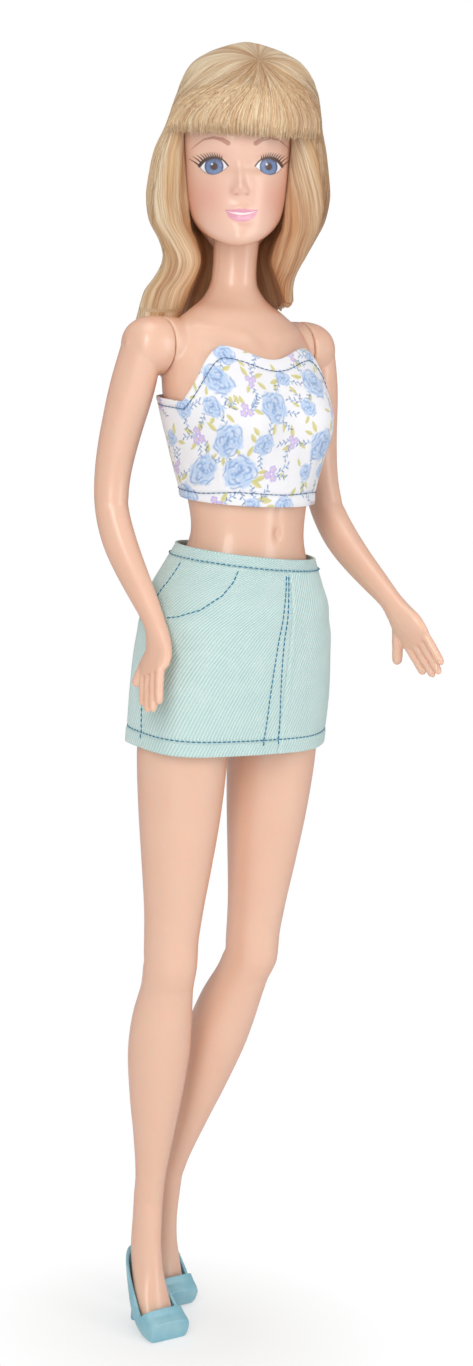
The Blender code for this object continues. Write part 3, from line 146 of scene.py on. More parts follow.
FINGER_LENGTH_SHARES = (0.80, 0.97, 1.0, 0.88)
THUMB_LENGTH = 0.0100
THUMB_RADIUS = 0.00135
THUMB_SPREAD_SHARE = 0.90

HIP_OFFSET = 0.0130
HIP_SET_BACK = 0.0015
HIP_INNER_FACE = 0.0078
HIP_DOME_RADIUS = 0.0123
HIP_DOME_WIDTH = 0.0142
HIP_DOME_SHARES = ((0.0, 1.0), (0.45, 0.97), (0.75, 0.83), (0.93, 0.55), (1.0, 0.0))
THIGH_TILT_IN = math.radians(1.3)
THIGH_RADIUS = 0.0101
THIGH_SHARES = (
    (0.04, 0.84, 1.02, 0.00),
    (0.14, 0.98, 1.03, 0.00),
    (0.24, 0.99, 1.01, 0.02),
    (0.42, 0.91, 0.93, 0.04),
    (0.60, 0.79, 0.81, 0.04),
    (0.78, 0.66, 0.69, 0.02),
    (0.90, 0.605, 0.64, 0.00),
    (1.00, 0.59, 0.62, 0.00),
)
CALF_RADIUS = 0.0065
SHIN_TILT_BACK = {-1: math.radians(8.4), 1: math.radians(17)}
SHIN_TILT_IN = math.radians(5.2)
SHIN_LENGTH = (KNEE_HEIGHT - ANKLE_HEIGHT) / (math.cos(SHIN_TILT_IN) * math.cos(SHIN_TILT_BACK[-1]))
SHIN_SHARES = (
    (0.00, 0.92, 0.96, 0.00),
    (0.10, 0.91, 0.95, 0.04),
    (0.24, 1.06, 1.08, 0.16),
    (0.38, 1.09, 1.11, 0.18),
    (0.56, 0.93, 0.95, 0.12),
    (0.74, 0.70, 0.72, 0.04),
    (0.90, 0.535, 0.56, 0.00),
    (1.00, 0.52, 0.56, 0.00),
)
FOOT_REACH = 0.0096
FOOT_DROP = 0.0284
FOOT_HALF_WIDTH = 0.0042
FOOT_HALF_DEPTH = 0.0047
FOOT_SHARES = (
    (0.00, 0.00, 0.79, 0.76),
    (0.02, 0.20, 0.75, 0.84),
    (0.05, 0.40, 0.76, 0.90),
    (0.18, 0.60, 0.82, 0.88),
    (0.40, 0.77, 0.97, 0.73),
    (0.66, 0.90, 1.00, 0.56),
    (0.88, 0.965, 0.93, 0.40),
    (1.00, 0.985, 0.70, 0.24),
)

HEAD_TURN = math.radians(-35)
HEAD_TILT = math.radians(-4.2)
HEAD_HEIGHT = 0.0392
HEAD_HALF_WIDTH = 0.0131
HEAD_HALF_DEPTH = 0.0160
HEAD_WALL = 0.0017
HEAD_RIM_GAP = 0.0004
HEAD_BROW_ROW = 8
HEAD_SHARES = (
    (0.060, 0.050, -0.080, 0.460, 0.40, 0.40),
    (0.020, 0.055, -0.090, 0.530, 0.62, 0.52),
    (0.000, 0.090, -0.050, 0.640, 0.84, 0.62),
    (0.030, 0.130, 0.010, 0.725, 0.94, 0.74),
    (0.090, 0.175, 0.090, 0.785, 0.935, 0.84),
    (0.185, 0.240, 0.190, 0.830, 0.91, 0.93),
    (0.285, 0.310, 0.285, 0.865, 0.90, 1.00),
    (0.380, 0.385, 0.380, 0.895, 0.90, 1.05),
    (0.450, 0.450, 0.450, 0.920, 0.86, 1.07),
    (0.600, 0.600, 0.600, 0.970, 0.915, 1.08),
    (0.760, 0.760, 0.760, 0.970, 0.83, 1.03),
    (0.890, 0.890, 0.890, 0.780, 0.60, 0.84),
    (0.965, 0.965, 0.965, 0.480, 0.34, 0.52),
    (1.000, 1.000, 1.000, 0.180, 0.12, 0.20),
)
# Face forms: side share, height share, depth share, width share, height spread share
FACE_SHARES = (
    (0.02, 0.316, 0.084, 0.095, 0.036),
    (0.02, 0.356, 0.046, 0.080, 0.060),
    (0.02, 0.415, 0.026, 0.095, 0.080),
    (0.12, 0.300, 0.032, 0.055, 0.024),
    (-0.08, 0.300, 0.032, 0.055, 0.024),
    (0.03, 0.206, 0.036, 0.170, 0.018),
    (0.03, 0.160, 0.046, 0.140, 0.024),
    (0.02, 0.055, 0.045, 0.180, 0.050),
    (0.46, 0.440, -0.050, 0.210, 0.055),
    (-0.40, 0.440, -0.050, 0.210, 0.055),
    (0.48, 0.434, 0.028, 0.110, 0.040),
    (-0.40, 0.434, 0.028, 0.110, 0.040),
)

# Hair: height share, centre share, half-width share, front share, back share
HAIR_SHARES = (
    (-0.50, -0.360, 1.395, 0.79, 1.30),
    (-0.41, -0.336, 1.351, 0.80, 1.28),
    (-0.26, -0.290, 1.260, 0.82, 1.25),
    (-0.18, -0.183, 1.191, 0.84, 1.22),
    (-0.08, -0.038, 1.198, 0.88, 1.22),
    (0.02, 0.015, 1.313, 0.92, 1.22),
    (0.13, 0.015, 1.481, 0.97, 1.25),
    (0.255, 0.030, 1.550, 1.00, 1.28),
    (0.357, 0.038, 1.530, 1.02, 1.29),
    (0.526, 0.062, 1.445, 1.03, 1.30),
    (0.640, 0.110, 1.330, 1.04, 1.30),
    (0.690, 0.135, 1.295, 1.06, 1.29),
    (0.860, 0.183, 1.160, 0.98, 1.19),
    (0.995, 0.168, 0.947, 0.70, 0.90),
    (1.060, 0.153, 0.650, 0.46, 0.64),
    (1.105, 0.153, 0.275, 0.19, 0.26),
    (1.120, 0.153, 0.060, 0.04, 0.05),
)
# degrees from the face's middle, height share where the hair ends
HAIR_EDGE_SHARES = (
    (0.0, 0.740),
    (56.0, 0.735),
    (61.0, 0.700),
    (64.0, 0.600),
    (66.5, 0.460),
    (69.5, 0.320),
    (73.0, 0.190),
    (78.0, 0.070),
    (83.0, -0.050),
    (86.5, -0.170),
    (89.0, -0.300),
    (91.0, -0.420),
    (93.0, -0.500),
    (180.0, -0.500),
)
# height share, half-width and back depth in millimetres of the room within the hair below the jaw
HAIR_ROOM = (
    (-0.50, 13.2, 15.0),
    (-0.40, 12.0, 14.6),
    (-0.25, 9.8, 14.0),
    (-0.10, 7.8, 13.4),
    (0.00, 8.6, 13.4),
    (0.10, 10.4, 14.0),
    (0.20, 11.8, 15.0),
)
RIGHT_HANG_DROP = 0.0185
LEFT_HANG_DROP = 0.0125
FRINGE_EDGE_SHARE = 0.612
FRINGE_START_SHARE = 0.960
FRINGE_SLOPE_SHARE = 0.025
ROOT_PLACE = (0.0044, -0.0102)

CLOTH_THICKNESS = 0.0006
CLOTH_CLEARANCE = 0.0007
FASTENER_WIDTH = 0.0050
FASTENER_THICKNESS = 0.0005
LAP_RISE_SHARE = 0.60
TOP_HEM_HEIGHT = WAIST_HEIGHT + 0.0085
TOP_DIP_HEIGHT = NECK_TOP_HEIGHT - 0.0265
TOP_PEAK_HEIGHT = NECK_TOP_HEIGHT - 0.0240
TOP_SIDE_HEIGHT = NECK_TOP_HEIGHT - 0.0365
TOP_PEAK_SPREAD = 0.0128
TOP_FLARE = 0.0003
WAISTBAND_TOP_HEIGHT = WAIST_HEIGHT - 0.0028
WAISTBAND_DEPTH = 0.0026
SKIRT_LENGTH = 0.0440
SKIRT_SLOPE = 0.07
SEAM_SLIT = 0.00004
SKIRT_HALF_WIDTH = HIP_HALF_WIDTH + 0.0020
SKIRT_HALF_DEPTH = HIP_HALF_DEPTH + 0.0019
SKIRT_FOLD_DEPTH = 0.0005
SKIRT_FOLDS = 5
SKIRT_SHARES = (
    (0.00, 0.640, 0.740, 0.735, 2.0, -0.03),
    (0.12, 0.750, 0.850, 0.840, 2.0, -0.05),
    (0.28, 0.870, 0.940, 0.930, 2.1, -0.09),
    (0.50, 0.945, 0.930, 0.920, 2.2, -0.11),
    (0.75, 0.985, 0.825, 0.800, 2.4, -0.09),
    (1.00, 0.975, 0.725, 0.740, 2.6, -0.07),
)

SHOE_WALL = 0.0008
SHOE_SIDE_ROOM = 0.0004
SHOE_TOE_WIDTH = 0.0050
SHOE_TOE_REACH = 0.0112
SHOE_TOE_ROWS = 1.2
SHOE_BACK_DROP = 0.0135
SHOE_VAMP_REACH = 0.0076
SHOE_VAMP_DROP = 0.0258
HEEL_TIP_RADIUS = 0.0012
HEEL_SEAT_RADIUS = 0.0024
HEEL_SET_BACK = 0.0014
HEEL_SEAT_DROP = 0.0170
SHOE_SHARES = (
    (0.00, 0.28, 0.68, 0.82, 2.0),
    (0.02, 0.42, 0.69, 0.88, 2.0),
    (0.16, 0.60, 0.75, 0.92, 2.0),
    (0.38, 0.76, 0.86, 0.84, 2.2),
    (0.62, 0.88, 0.97, 0.68, 2.6),
    (0.92, 0.965, 1.00, 0.50, 3.2),
    (1.16, 0.995, 0.98, 0.38, 3.6),
    (1.30, 1.005, 0.90, 0.32, 3.6),
)

# ---------------------------------------------------------------- looks (colours as they show)
SKIN_COLOUR = (229, 190, 167)
SKIN_WARM = (219, 170, 142)
FACE_COLOUR = (233, 193, 173)
# painted warm shade at the skin's edges, where the surface turns away
SKIN_EDGE_SHADE = (210, 124, 86)
CHEEK_COLOUR = (222, 140, 128)
BROW_COLOUR = (148, 70, 54)
LASH_COLOUR = (26, 22, 28)
IRIS_COLOUR = (46, 92, 148)
IRIS_LIGHT = (104, 156, 204)
IRIS_RIM = (16, 32, 70)
LIP_COLOUR = (222, 148, 176)
LIP_HIGHLIGHT = (238, 186, 208)
SMILE_COLOUR = (244, 238, 240)
LIP_LINE_COLOUR = (196, 104, 132)
EYE_SHADOW_COLOUR = (214, 164, 150)
EYE_WHITE = (240, 240, 246)
PUPIL_COLOUR = (14, 16, 30)
EYE_SHINE = (236, 244, 255)
LOWER_LID_COLOUR = (84, 62, 64)
LID_CREASE_COLOUR = (190, 124, 104)
# painted shade in the nostrils and beside the nose wings
NOSTRIL_SHADE_COLOUR = (196, 124, 104)
NOSE_WING_SHADE_COLOUR = (214, 156, 136)
CHIN_SHADE_COLOUR = (212, 150, 132)
HAIR_PALE = (240, 228, 202)
HAIR_LIGHT = (224, 204, 172)
HAIR_MID = (194, 162, 128)
HAIR_DARK = (142, 102, 74)
HAIR_GOLDEN = (0.80, 0.60, 0.40, 1.0)
TOP_WHITE = (238, 238, 242)
COTTON_SHADE = (196, 198, 214)
ROSE_COLOURS = ((122, 168, 220), (198, 216, 240), (72, 124, 190))
LILAC_COLOURS = ((208, 190, 236), (166, 136, 210))
LEAF_COLOURS = ((216, 206, 128), (184, 186, 112))
SPRIG_COLOUR = (64, 118, 172)
FLORET_EYE_COLOUR = (226, 208, 132)
SKIRT_COLOUR = (216, 234, 231)
SKIRT_SHADE = (170, 208, 207)
SKIRT_WORN = (218, 235, 233)
TWILL_PITCH = 0.78
STITCH_COLOUR = (24, 128, 168)
TOP_STITCH_COLOUR = (40, 108, 156)
SHOE_COLOUR = (150, 194, 206)
SHOE_SHADE = (124, 178, 194)
PLASTIC_COLOUR = (226, 222, 214)
TAPE_COLOUR = (244, 244, 242)
TAPE_SHADE = (212, 212, 210)

rng = np.random.default_rng(11)


# ---------------------------------------------------------------- curves and surfaces
def linear(colour):
    """A colour as it shows, 0 to 255, as the linear values that shading works in."""
    c = np.asarray(colour, float) / 255
    return np.where(c <= 0.04045, c / 12.92, ((c + 0.055) / 1.055) ** 2.4)


def sample(rows, share):
    """A smooth curve through rows of numbers whose first number is the share along it."""
    rows = np.asarray(rows, float)
    share = np.clip(np.asarray(share, float), rows[0, 0], rows[-1, 0])
    i = np.clip(np.searchsorted(rows[:, 0], share, side="left"), 1, len(rows) - 1)
    low, high = rows[i - 1], rows[i]
    before, after = rows[np.maximum(i - 2, 0)], rows[np.minimum(i + 1, len(rows) - 1)]
    span = high[..., :1] - low[..., :1]
    t = (share[..., None] - low[..., :1]) / span
    leave = (high - before) / (high[..., :1] - before[..., :1]) * span
    arrive = (after - low) / (after[..., :1] - low[..., :1]) * span
    out = (
        low * (2 * t**3 - 3 * t**2 + 1)
        + leave * (t**3 - 2 * t**2 + t)
        + high * (3 * t**2 - 2 * t**3)
        + arrive * (t**3 - t**2)
    )
    return [out[..., k] for k in range(1, rows.shape[1])]


def numbered(rows):
    return [(index, *row) for index, row in enumerate(rows)]


def smoothstep(low, high, value):
    t = np.clip((value - low) / (high - low), 0, 1)
    return t * t * (3 - 2 * t)


def wave(angle, power):
    cosine, sine = np.cos(angle), np.sin(angle)
    return (
        np.sign(cosine) * np.abs(cosine) ** (2 / power),
        np.sign(sine) * np.abs(sine) ** (2 / power),
    )


def bell(value, middle, spread):
    """1 where the value is at the middle, falling off to both sides."""
    return np.exp(-(((value - middle) / spread) ** 2))


def unit(vectors):
    """The same directions at length one."""
    return vectors / np.maximum(np.linalg.norm(vectors, axis=-1, keepdims=True), 1e-12)


def circle(count):
    return np.linspace(0, TAU, count, endpoint=False)


def stack(x, y, z):
    return np.stack(np.broadcast_arrays(x, y, z), axis=-1)


def rotation(axis, angle):
    return np.array(Matrix.Rotation(angle, 3, axis))


def ripple(x, y, seed, count=6):
    """A smooth bounded noise from a few sine waves, the same on every run."""
    random = np.random.default_rng(seed)
    total = 0
    for _ in range(count):
        kx, ky, phase = random.normal(0, 1), random.normal(0, 1), random.uniform(0, TAU)
        total = total + np.sin(kx * x + ky * y + phase)
    return total / count


# ---------------------------------------------------------------- meshes
def mesh_from(name, points, faces):
    mesh = bpy.data.meshes.new(name)
    faces = faces.tolist() if hasattr(faces, "tolist") else faces
    mesh.from_pydata(np.asarray(points, float).reshape(-1, 3).tolist(), [], faces)
    mesh.update()
    mesh.shade_smooth()
    made = bpy.data.objects.new(name, mesh)
    bpy.context.scene.collection.objects.link(made)
    return made


def grid_faces(rows, columns, wrap_rows=False, wrap_columns=False, start=0):
    """Quads over a grid of points, rows first."""
    r = np.arange(rows if wrap_rows else rows - 1)
    c = np.arange(columns if wrap_columns else columns - 1)
    r, c = np.meshgrid(r, c, indexing="ij")
    r1, c1 = (r + 1) % rows, (c + 1) % columns
    quads = np.stack([r * columns + c, r * columns + c1, r1 * columns + c1, r1 * columns + c], axis=-1)
    return quads.reshape(-1, 4) + start


def closed(made, caps):
    """The mesh with more faces over its openings, and every face turned outward."""
    build = bmesh.new()
    build.from_mesh(made.data)
    build.verts.ensure_lookup_table()
    for cap in caps:
        build.faces.new([build.verts[i] for i in cap])
    bmesh.ops.recalc_face_normals(build, faces=build.faces)
    for face in build.faces:
        face.smooth = True
    build.to_mesh(made.data)
    build.free()
    return made


def tube_mesh(name, loops):
    """A skin over loops of points, closed at its two ends."""
    loops = np.asarray(loops, float)
    rows, columns = loops.shape[:2]
    made = mesh_from(name, loops, grid_faces(rows, columns, False, True))
    return closed(made, [[end * columns + i for i in range(columns)] for end in (0, rows - 1)])


def sheet_mesh(name, outer, inner):
    """A closed thin sheet from two grids of points of the same size."""
    columns, rows = outer.shape[:2]
    ring = np.concatenate([outer, inner[:, ::-1]], axis=1)
    made = mesh_from(name, ring, grid_faces(columns, rows * 2, False, True))
    strip = [(k, k + 1, rows * 2 - 2 - k, rows * 2 - 1 - k) for k in range(rows - 1)]
    ends = (0, (columns - 1) * rows * 2)
    return closed(made, [[first + i for i in corners] for first in ends for corners in strip])


def apply_modifiers(obj):
    """Works the object's modifiers into its mesh."""
    depsgraph = bpy.context.evaluated_depsgraph_get()
    mesh = bpy.data.meshes.new_from_object(obj.evaluated_get(depsgraph))
    obj.modifiers.clear()
    old = obj.data
    obj.data = mesh
    mesh.name = obj.name
    bpy.data.meshes.remove(old)


def joined(name, objects):
    """The meshes of several objects in one."""
    faces, start = [], 0
    for obj in objects:
        faces.extend([[start + i for i in face.vertices] for face in obj.data.polygons])
        start += len(obj.data.vertices)
    made = mesh_from(name, np.concatenate([coordinates(obj) for obj in objects]), faces)
    for obj in objects:
        bpy.data.objects.remove(obj, do_unlink=True)
    return made


def remesh(obj, voxel, smooth):
    """Makes one continuous skin over everything in the object."""
    step = obj.modifiers.new("skin", "REMESH")
    step.mode = "VOXEL"
    step.voxel_size = voxel
    step.adaptivity = 0
    step = obj.modifiers.new("even", "SMOOTH")
    step.factor = 0.5
    step.iterations = smooth
    apply_modifiers(obj)
    obj.data.shade_smooth()


def vertex_data(obj, name):
    out = np.empty(len(obj.data.vertices) * 3)
    obj.data.vertices.foreach_get(name, out)
    return out.reshape(-1, 3)


def coordinates(obj):
    return vertex_data(obj, "co")


def set_coordinates(obj, co):
    obj.data.vertices.foreach_set("co", np.ascontiguousarray(co, float).ravel())
    obj.data.update()


def normals(obj):
    return vertex_data(obj, "normal")


def paint(obj, name, colour):
    """A colour for each point, kept with the mesh."""
    values = np.ones((len(obj.data.vertices), 4), np.float32)
    values[:, :3] = np.asarray(colour, np.float32).reshape(-1, 3)
    layer = obj.data.color_attributes.new(name, "FLOAT_COLOR", "POINT")
    layer.data.foreach_set("color", values.ravel())


def flow(obj, name, values):
    """Two numbers for each point that the materials read, such as millimetres along a cloth."""
    out = np.zeros((len(obj.data.vertices), 3), np.float32)
    out[:, :2] = np.asarray(values, np.float32).reshape(-1, 2)
    layer = obj.data.attributes.new(name, "FLOAT_VECTOR", "POINT")
    layer.data.foreach_set("vector", out.ravel())


# ---------------------------------------------------------------- materials
class Shader:
    """A few lines of help to lay out a material's nodes."""

    def __init__(self, name):
        self.material = bpy.data.materials.new(name)
        self.material.use_nodes = True
        self.tree = self.material.node_tree
        self.surface = self.tree.nodes["Principled BSDF"]

    def node(self, kind, **inputs):
        made = self.tree.nodes.new(kind)
        for key, value in inputs.items():
            self.feed(made, key, value)
        return made

    def feed(self, node, key, value):
        socket = node.inputs[key.replace("_", " ")] if isinstance(key, str) else node.inputs[key]
        if hasattr(value, "is_output"):
            self.tree.links.new(value, socket)
        else:
            socket.default_value = value

    def maths(self, operation, *values):
        made = self.tree.nodes.new("ShaderNodeMath")
        made.operation = operation
        for i, value in enumerate(values):
            self.feed(made, i, value)
        return made.outputs[0]

    def attribute(self, name, output="Vector"):
        made = self.tree.nodes.new("ShaderNodeAttribute")
        made.attribute_name = name
        return made.outputs[output]

    def place(self):
        return self.tree.nodes.new("ShaderNodeTexCoord").outputs["Object"]

    def scaled(self, vector, scale):
        made = self.tree.nodes.new("ShaderNodeVectorMath")
        made.operation = "MULTIPLY"
        self.feed(made, 0, vector)
        made.inputs[1].default_value = scale
        return made.outputs[0]

    def noise(self, vector, scale, detail=3.0, roughness=0.5):
        made = self.node("ShaderNodeTexNoise", Vector=vector, Scale=scale, Detail=detail, Roughness=roughness)
        return made.outputs["Fac"]

    def ramp(self, value, stops):
        made = self.tree.nodes.new("ShaderNodeValToRGB")
        self.feed(made, 0, value)
        ends = made.color_ramp.elements
        while len(ends) < len(stops):
            ends.new(0.5)
        for element, (place, colour) in zip(ends, stops):
            element.position = place
            element.color = rgba(colour)
        return made.outputs[0]

    def grey(self, value, low, high, a=0.0, b=1.0):
        given = {"Value": value, "From_Min": low, "From_Max": high, "To_Min": a, "To_Max": b}
        return self.node("ShaderNodeMapRange", **given).outputs[0]

    def parts(self, vector):
        made = self.tree.nodes.new("ShaderNodeSeparateXYZ")
        self.feed(made, 0, vector)
        return made.outputs

    def mix(self, share, one, two, kind="MIX"):
        made = self.tree.nodes.new("ShaderNodeMix")
        made.data_type = "RGBA"
        made.blend_type = kind
        self.feed(made, 0, share)
        self.feed(made, 6, one)
        self.feed(made, 7, two)
        return made.outputs[2]

    def bump(self, height, strength, distance):
        made = self.node("ShaderNodeBump", Height=height, Strength=strength, Distance=distance)
        self.feed(self.surface, "Normal", made.outputs[0])

    def finish(self, **inputs):
        for key, value in inputs.items():
            self.feed(self.surface, key, value)
        return self.material


def rgba(colour):
    return (*(float(c) for c in linear(colour)), 1.0)


def vinyl(name, base, warm, painted=None, roughness=0.40):
    """Soft skin-coloured vinyl: a little light goes in, with painted warm shade where the surface turns away."""
    s = Shader(name)
    cloud = s.noise(s.place(), 90.0, 3.0)
    fine = s.noise(s.place(), 2600.0, 2.0)
    colour = s.attribute(painted, "Color") if painted else rgba(base)
    colour = s.mix(s.grey(cloud, 0.3, 0.8, 0.0, 0.22), colour, rgba(warm))
    # painted shade: warmer and darker towards the edges that turn away from the view
    turned = s.node("ShaderNodeLayerWeight", Blend=0.5).outputs["Facing"]
    turned = s.maths("POWER", turned, 2.6)
    colour = s.mix(s.maths("MULTIPLY", turned, 0.75), colour, rgba(SKIN_EDGE_SHADE))
    s.bump(fine, 0.06, 0.0001)
    rough = s.grey(cloud, 0.3, 0.7, roughness - 0.04, roughness + 0.06)
    return s.finish(
        Base_Color=colour,
        Roughness=rough,
        Subsurface_Weight=0.05 if painted else 0.42,
        Subsurface_Radius=(1.0, 0.45, 0.28),
        Subsurface_Scale=0.0016 if painted else 0.0028,
        Specular_IOR_Level=0.5,
        Coat_Weight=0.45,
        Coat_Roughness=0.16,
    )


def hard_plastic(name, colour):
    s = Shader(name)
    cloud = s.noise(s.place(), 260.0, 3.0)
    fine = s.noise(s.place(), 3200.0, 2.0)
    dark = tuple(c * 0.93 for c in colour)
    s.bump(fine, 0.06, 0.00008)
    return s.finish(
        Base_Color=s.mix(s.grey(cloud, 0.35, 0.7), rgba(colour), rgba(dark)),
        Roughness=s.grey(cloud, 0.3, 0.7, 0.27, 0.38),
        Subsurface_Weight=0.12,
        Subsurface_Radius=(0.8, 0.9, 1.0),
        Subsurface_Scale=0.001,
    )


def hair_material(name):
    """Fine rooted fibre: long streaks along the flow, light over dark, with a silky sheen."""
    s = Shader(name)
    along = s.attribute("strand")
    broad = s.noise(s.scaled(along, (0.55, 0.035, 1.0)), 1.0, 3.0, 0.6)
    streak = s.noise(s.scaled(along, (2.6, 0.05, 1.0)), 1.0, 4.0, 0.65)
    hairline = s.noise(s.scaled(along, (11.0, 0.09, 1.0)), 1.0, 2.0, 0.6)
    total = s.maths("ADD", s.maths("MULTIPLY", broad, 0.40), s.maths("MULTIPLY", streak, 0.42))
    total = s.maths("ADD", total, s.maths("MULTIPLY", hairline, 0.18))
    tone = s.ramp(total, ((0.34, HAIR_DARK), (0.44, HAIR_MID), (0.53, HAIR_LIGHT), (0.65, HAIR_PALE)))
    patch = s.noise(s.scaled(along, (0.24, 0.020, 1.0)), 1.0, 2.0, 0.5)
    tone = s.mix(s.grey(patch, 0.47, 0.60, 0.0, 0.75), tone, HAIR_GOLDEN, "MULTIPLY")
    colour = s.mix(1.0, tone, s.attribute("shade", "Color"), "MULTIPLY")
    s.bump(s.maths("ADD", streak, s.maths("MULTIPLY", hairline, 0.6)), 0.55, 0.0003)
    return s.finish(
        Base_Color=colour,
        Roughness=s.grey(streak, 0.3, 0.7, 0.34, 0.50),
        Specular_IOR_Level=0.55,
        Anisotropic=0.55,
    )


def weave_height(s, cloth, pitch):
    """Plain weave: threads over and under each other."""
    across, up = (s.maths("SINE", s.maths("MULTIPLY", part, TAU / pitch)) for part in s.parts(cloth)[:2])
    return s.maths("MULTIPLY", across, up)


def cotton(name, painted):
    s = Shader(name)
    cloth = s.attribute("cloth")
    weave = weave_height(s, cloth, 0.34)
    fuzz = s.noise(cloth, 3.5, 3.0)
    s.bump(s.maths("ADD", weave, s.maths("MULTIPLY", fuzz, 0.8)), 0.35, 0.00008)
    return s.finish(
        Base_Color=s.mix(s.grey(weave, -1.0, 1.0, 0.0, 0.10), s.attribute(painted, "Color"), rgba(COTTON_SHADE)),
        Roughness=0.86,
        Sheen_Weight=0.25,
        Sheen_Roughness=0.5,
        Specular_IOR_Level=0.25,
    )


def twill(name):
    """Brushed twill: steep diagonal ribs, softly worn, with paler tops."""
    s = Shader(name)
    cloth = s.attribute("cloth")
    along, up = s.parts(cloth)[:2]
    slope = s.maths("ADD", along, s.maths("MULTIPLY", up, 0.42))
    jitter = s.maths("MULTIPLY", s.noise(cloth, 0.9, 3.0), 0.7)
    rib = s.maths("SINE", s.maths("ADD", s.maths("MULTIPLY", slope, TAU / TWILL_PITCH), jitter))
    thread = s.noise(s.scaled(cloth, (1.0, 5.0, 1.0)), 1.6, 3.0)
    cloud = s.noise(cloth, 0.22, 3.0)
    tone = s.maths("ADD", s.maths("MULTIPLY", rib, 0.45), s.maths("MULTIPLY", thread, 0.5))
    colour = s.mix(s.grey(tone, -0.25, 0.75), rgba(SKIRT_SHADE), rgba(SKIRT_COLOUR))
    s.bump(s.maths("ADD", rib, thread), 0.60, 0.00016)
    return s.finish(
        Base_Color=s.mix(s.grey(cloud, 0.4, 0.75, 0.0, 0.30), colour, rgba(SKIRT_WORN)),
        Roughness=0.9,
        Sheen_Weight=0.35,
        Sheen_Roughness=0.5,
        Specular_IOR_Level=0.2,
    )


def thread_material(name, colour):
    s = Shader(name)
    twist = s.noise(s.place(), 9000.0, 2.0)
    dark = tuple(c * 0.8 for c in colour)
    s.bump(twist, 0.4, 0.00006)
    return s.finish(Base_Color=s.mix(twist, rgba(dark), rgba(colour)), Roughness=0.7, Sheen_Weight=0.2)


def tape_material(name):
    s = Shader(name)
    loops = s.noise(s.place(), 5200.0, 4.0, 0.7)
    s.bump(loops, 0.9, 0.0002)
    return s.finish(
        Base_Color=s.mix(loops, rgba(TAPE_SHADE), rgba(TAPE_COLOUR)), Roughness=0.92, Sheen_Weight=0.4
    )


def shoe_material(name):
    s = Shader(name)
    cloud = s.noise(s.place(), 190.0, 4.0)
    grain = s.noise(s.place(), 4200.0, 2.0)
    colour = s.mix(s.grey(cloud, 0.35, 0.72), rgba(SHOE_COLOUR), rgba(SHOE_SHADE))
    s.bump(grain, 0.12, 0.0001)
    return s.finish(
        Base_Color=colour,
        Roughness=s.grey(cloud, 0.3, 0.7, 0.28, 0.42),
        Subsurface_Weight=0.2,
        Subsurface_Radius=(0.5, 0.8, 1.0),
        Subsurface_Scale=0.0012,
        Coat_Weight=0.15,
        Coat_Roughness=0.25,
    )


MATERIALS = {
    "skin": vinyl("skin_vinyl", SKIN_COLOUR, SKIN_WARM),
    "face": vinyl("face_vinyl", FACE_COLOUR, SKIN_WARM, painted="face_paint", roughness=0.46),
    "hair": hair_material("fibre_hair"),
    "cotton": cotton("printed_cotton", "print"),
    "twill": twill("mint_twill"),
    "teal": thread_material("teal_thread", STITCH_COLOUR),
    "top_thread": thread_material("blue_thread", TOP_STITCH_COLOUR),
    "shoe": shoe_material("pale_blue_plastic"),
    "plastic": hard_plastic("hard_white_plastic", PLASTIC_COLOUR),
    "tape": tape_material("hook_and_loop"),
}


def wear(obj, material):
    obj.data.materials.clear()
    obj.data.materials.append(MATERIALS[material])
    return obj


# ---------------------------------------------------------------- torso
def torso_point(angle, height, outward=0.0):
    half_width, front, back, lean = sample(TORSO_SHARES, (height - CROTCH_HEIGHT) / TORSO_LENGTH)
    sine = np.sin(angle)
    depth = np.where(sine < 0, front, back) * HIP_HALF_DEPTH
    x = (half_width * HIP_HALF_WIDTH + outward) * np.cos(angle)
    y = TORSO_LEAN * lean + (depth + outward) * sine
    for side in (-1, 1):
        across = (x - side * BUST_SPREAD) / BUST_SIZE
        up = (height - BUST_HEIGHT) / BUST_SIZE
        fade = smoothstep(0.0, 0.12, -sine)
        y = y - BUST_DEPTH * np.exp(-(across**2 + up**2) / 2) * fade
    return stack(x, y, height - WAIST_HEIGHT)


def seam_depth(height):
    """How far back the parting line between the torso's two halves runs."""
    levels = (HIP_SEAM_HEIGHT, WAIST_HEIGHT, SHOULDER_HEIGHT, NECK_TOP_HEIGHT)
    return np.interp(height, levels, (HIP_SET_BACK, HIP_SET_BACK, SHOULDER_SET_BACK, TORSO_LEAN))


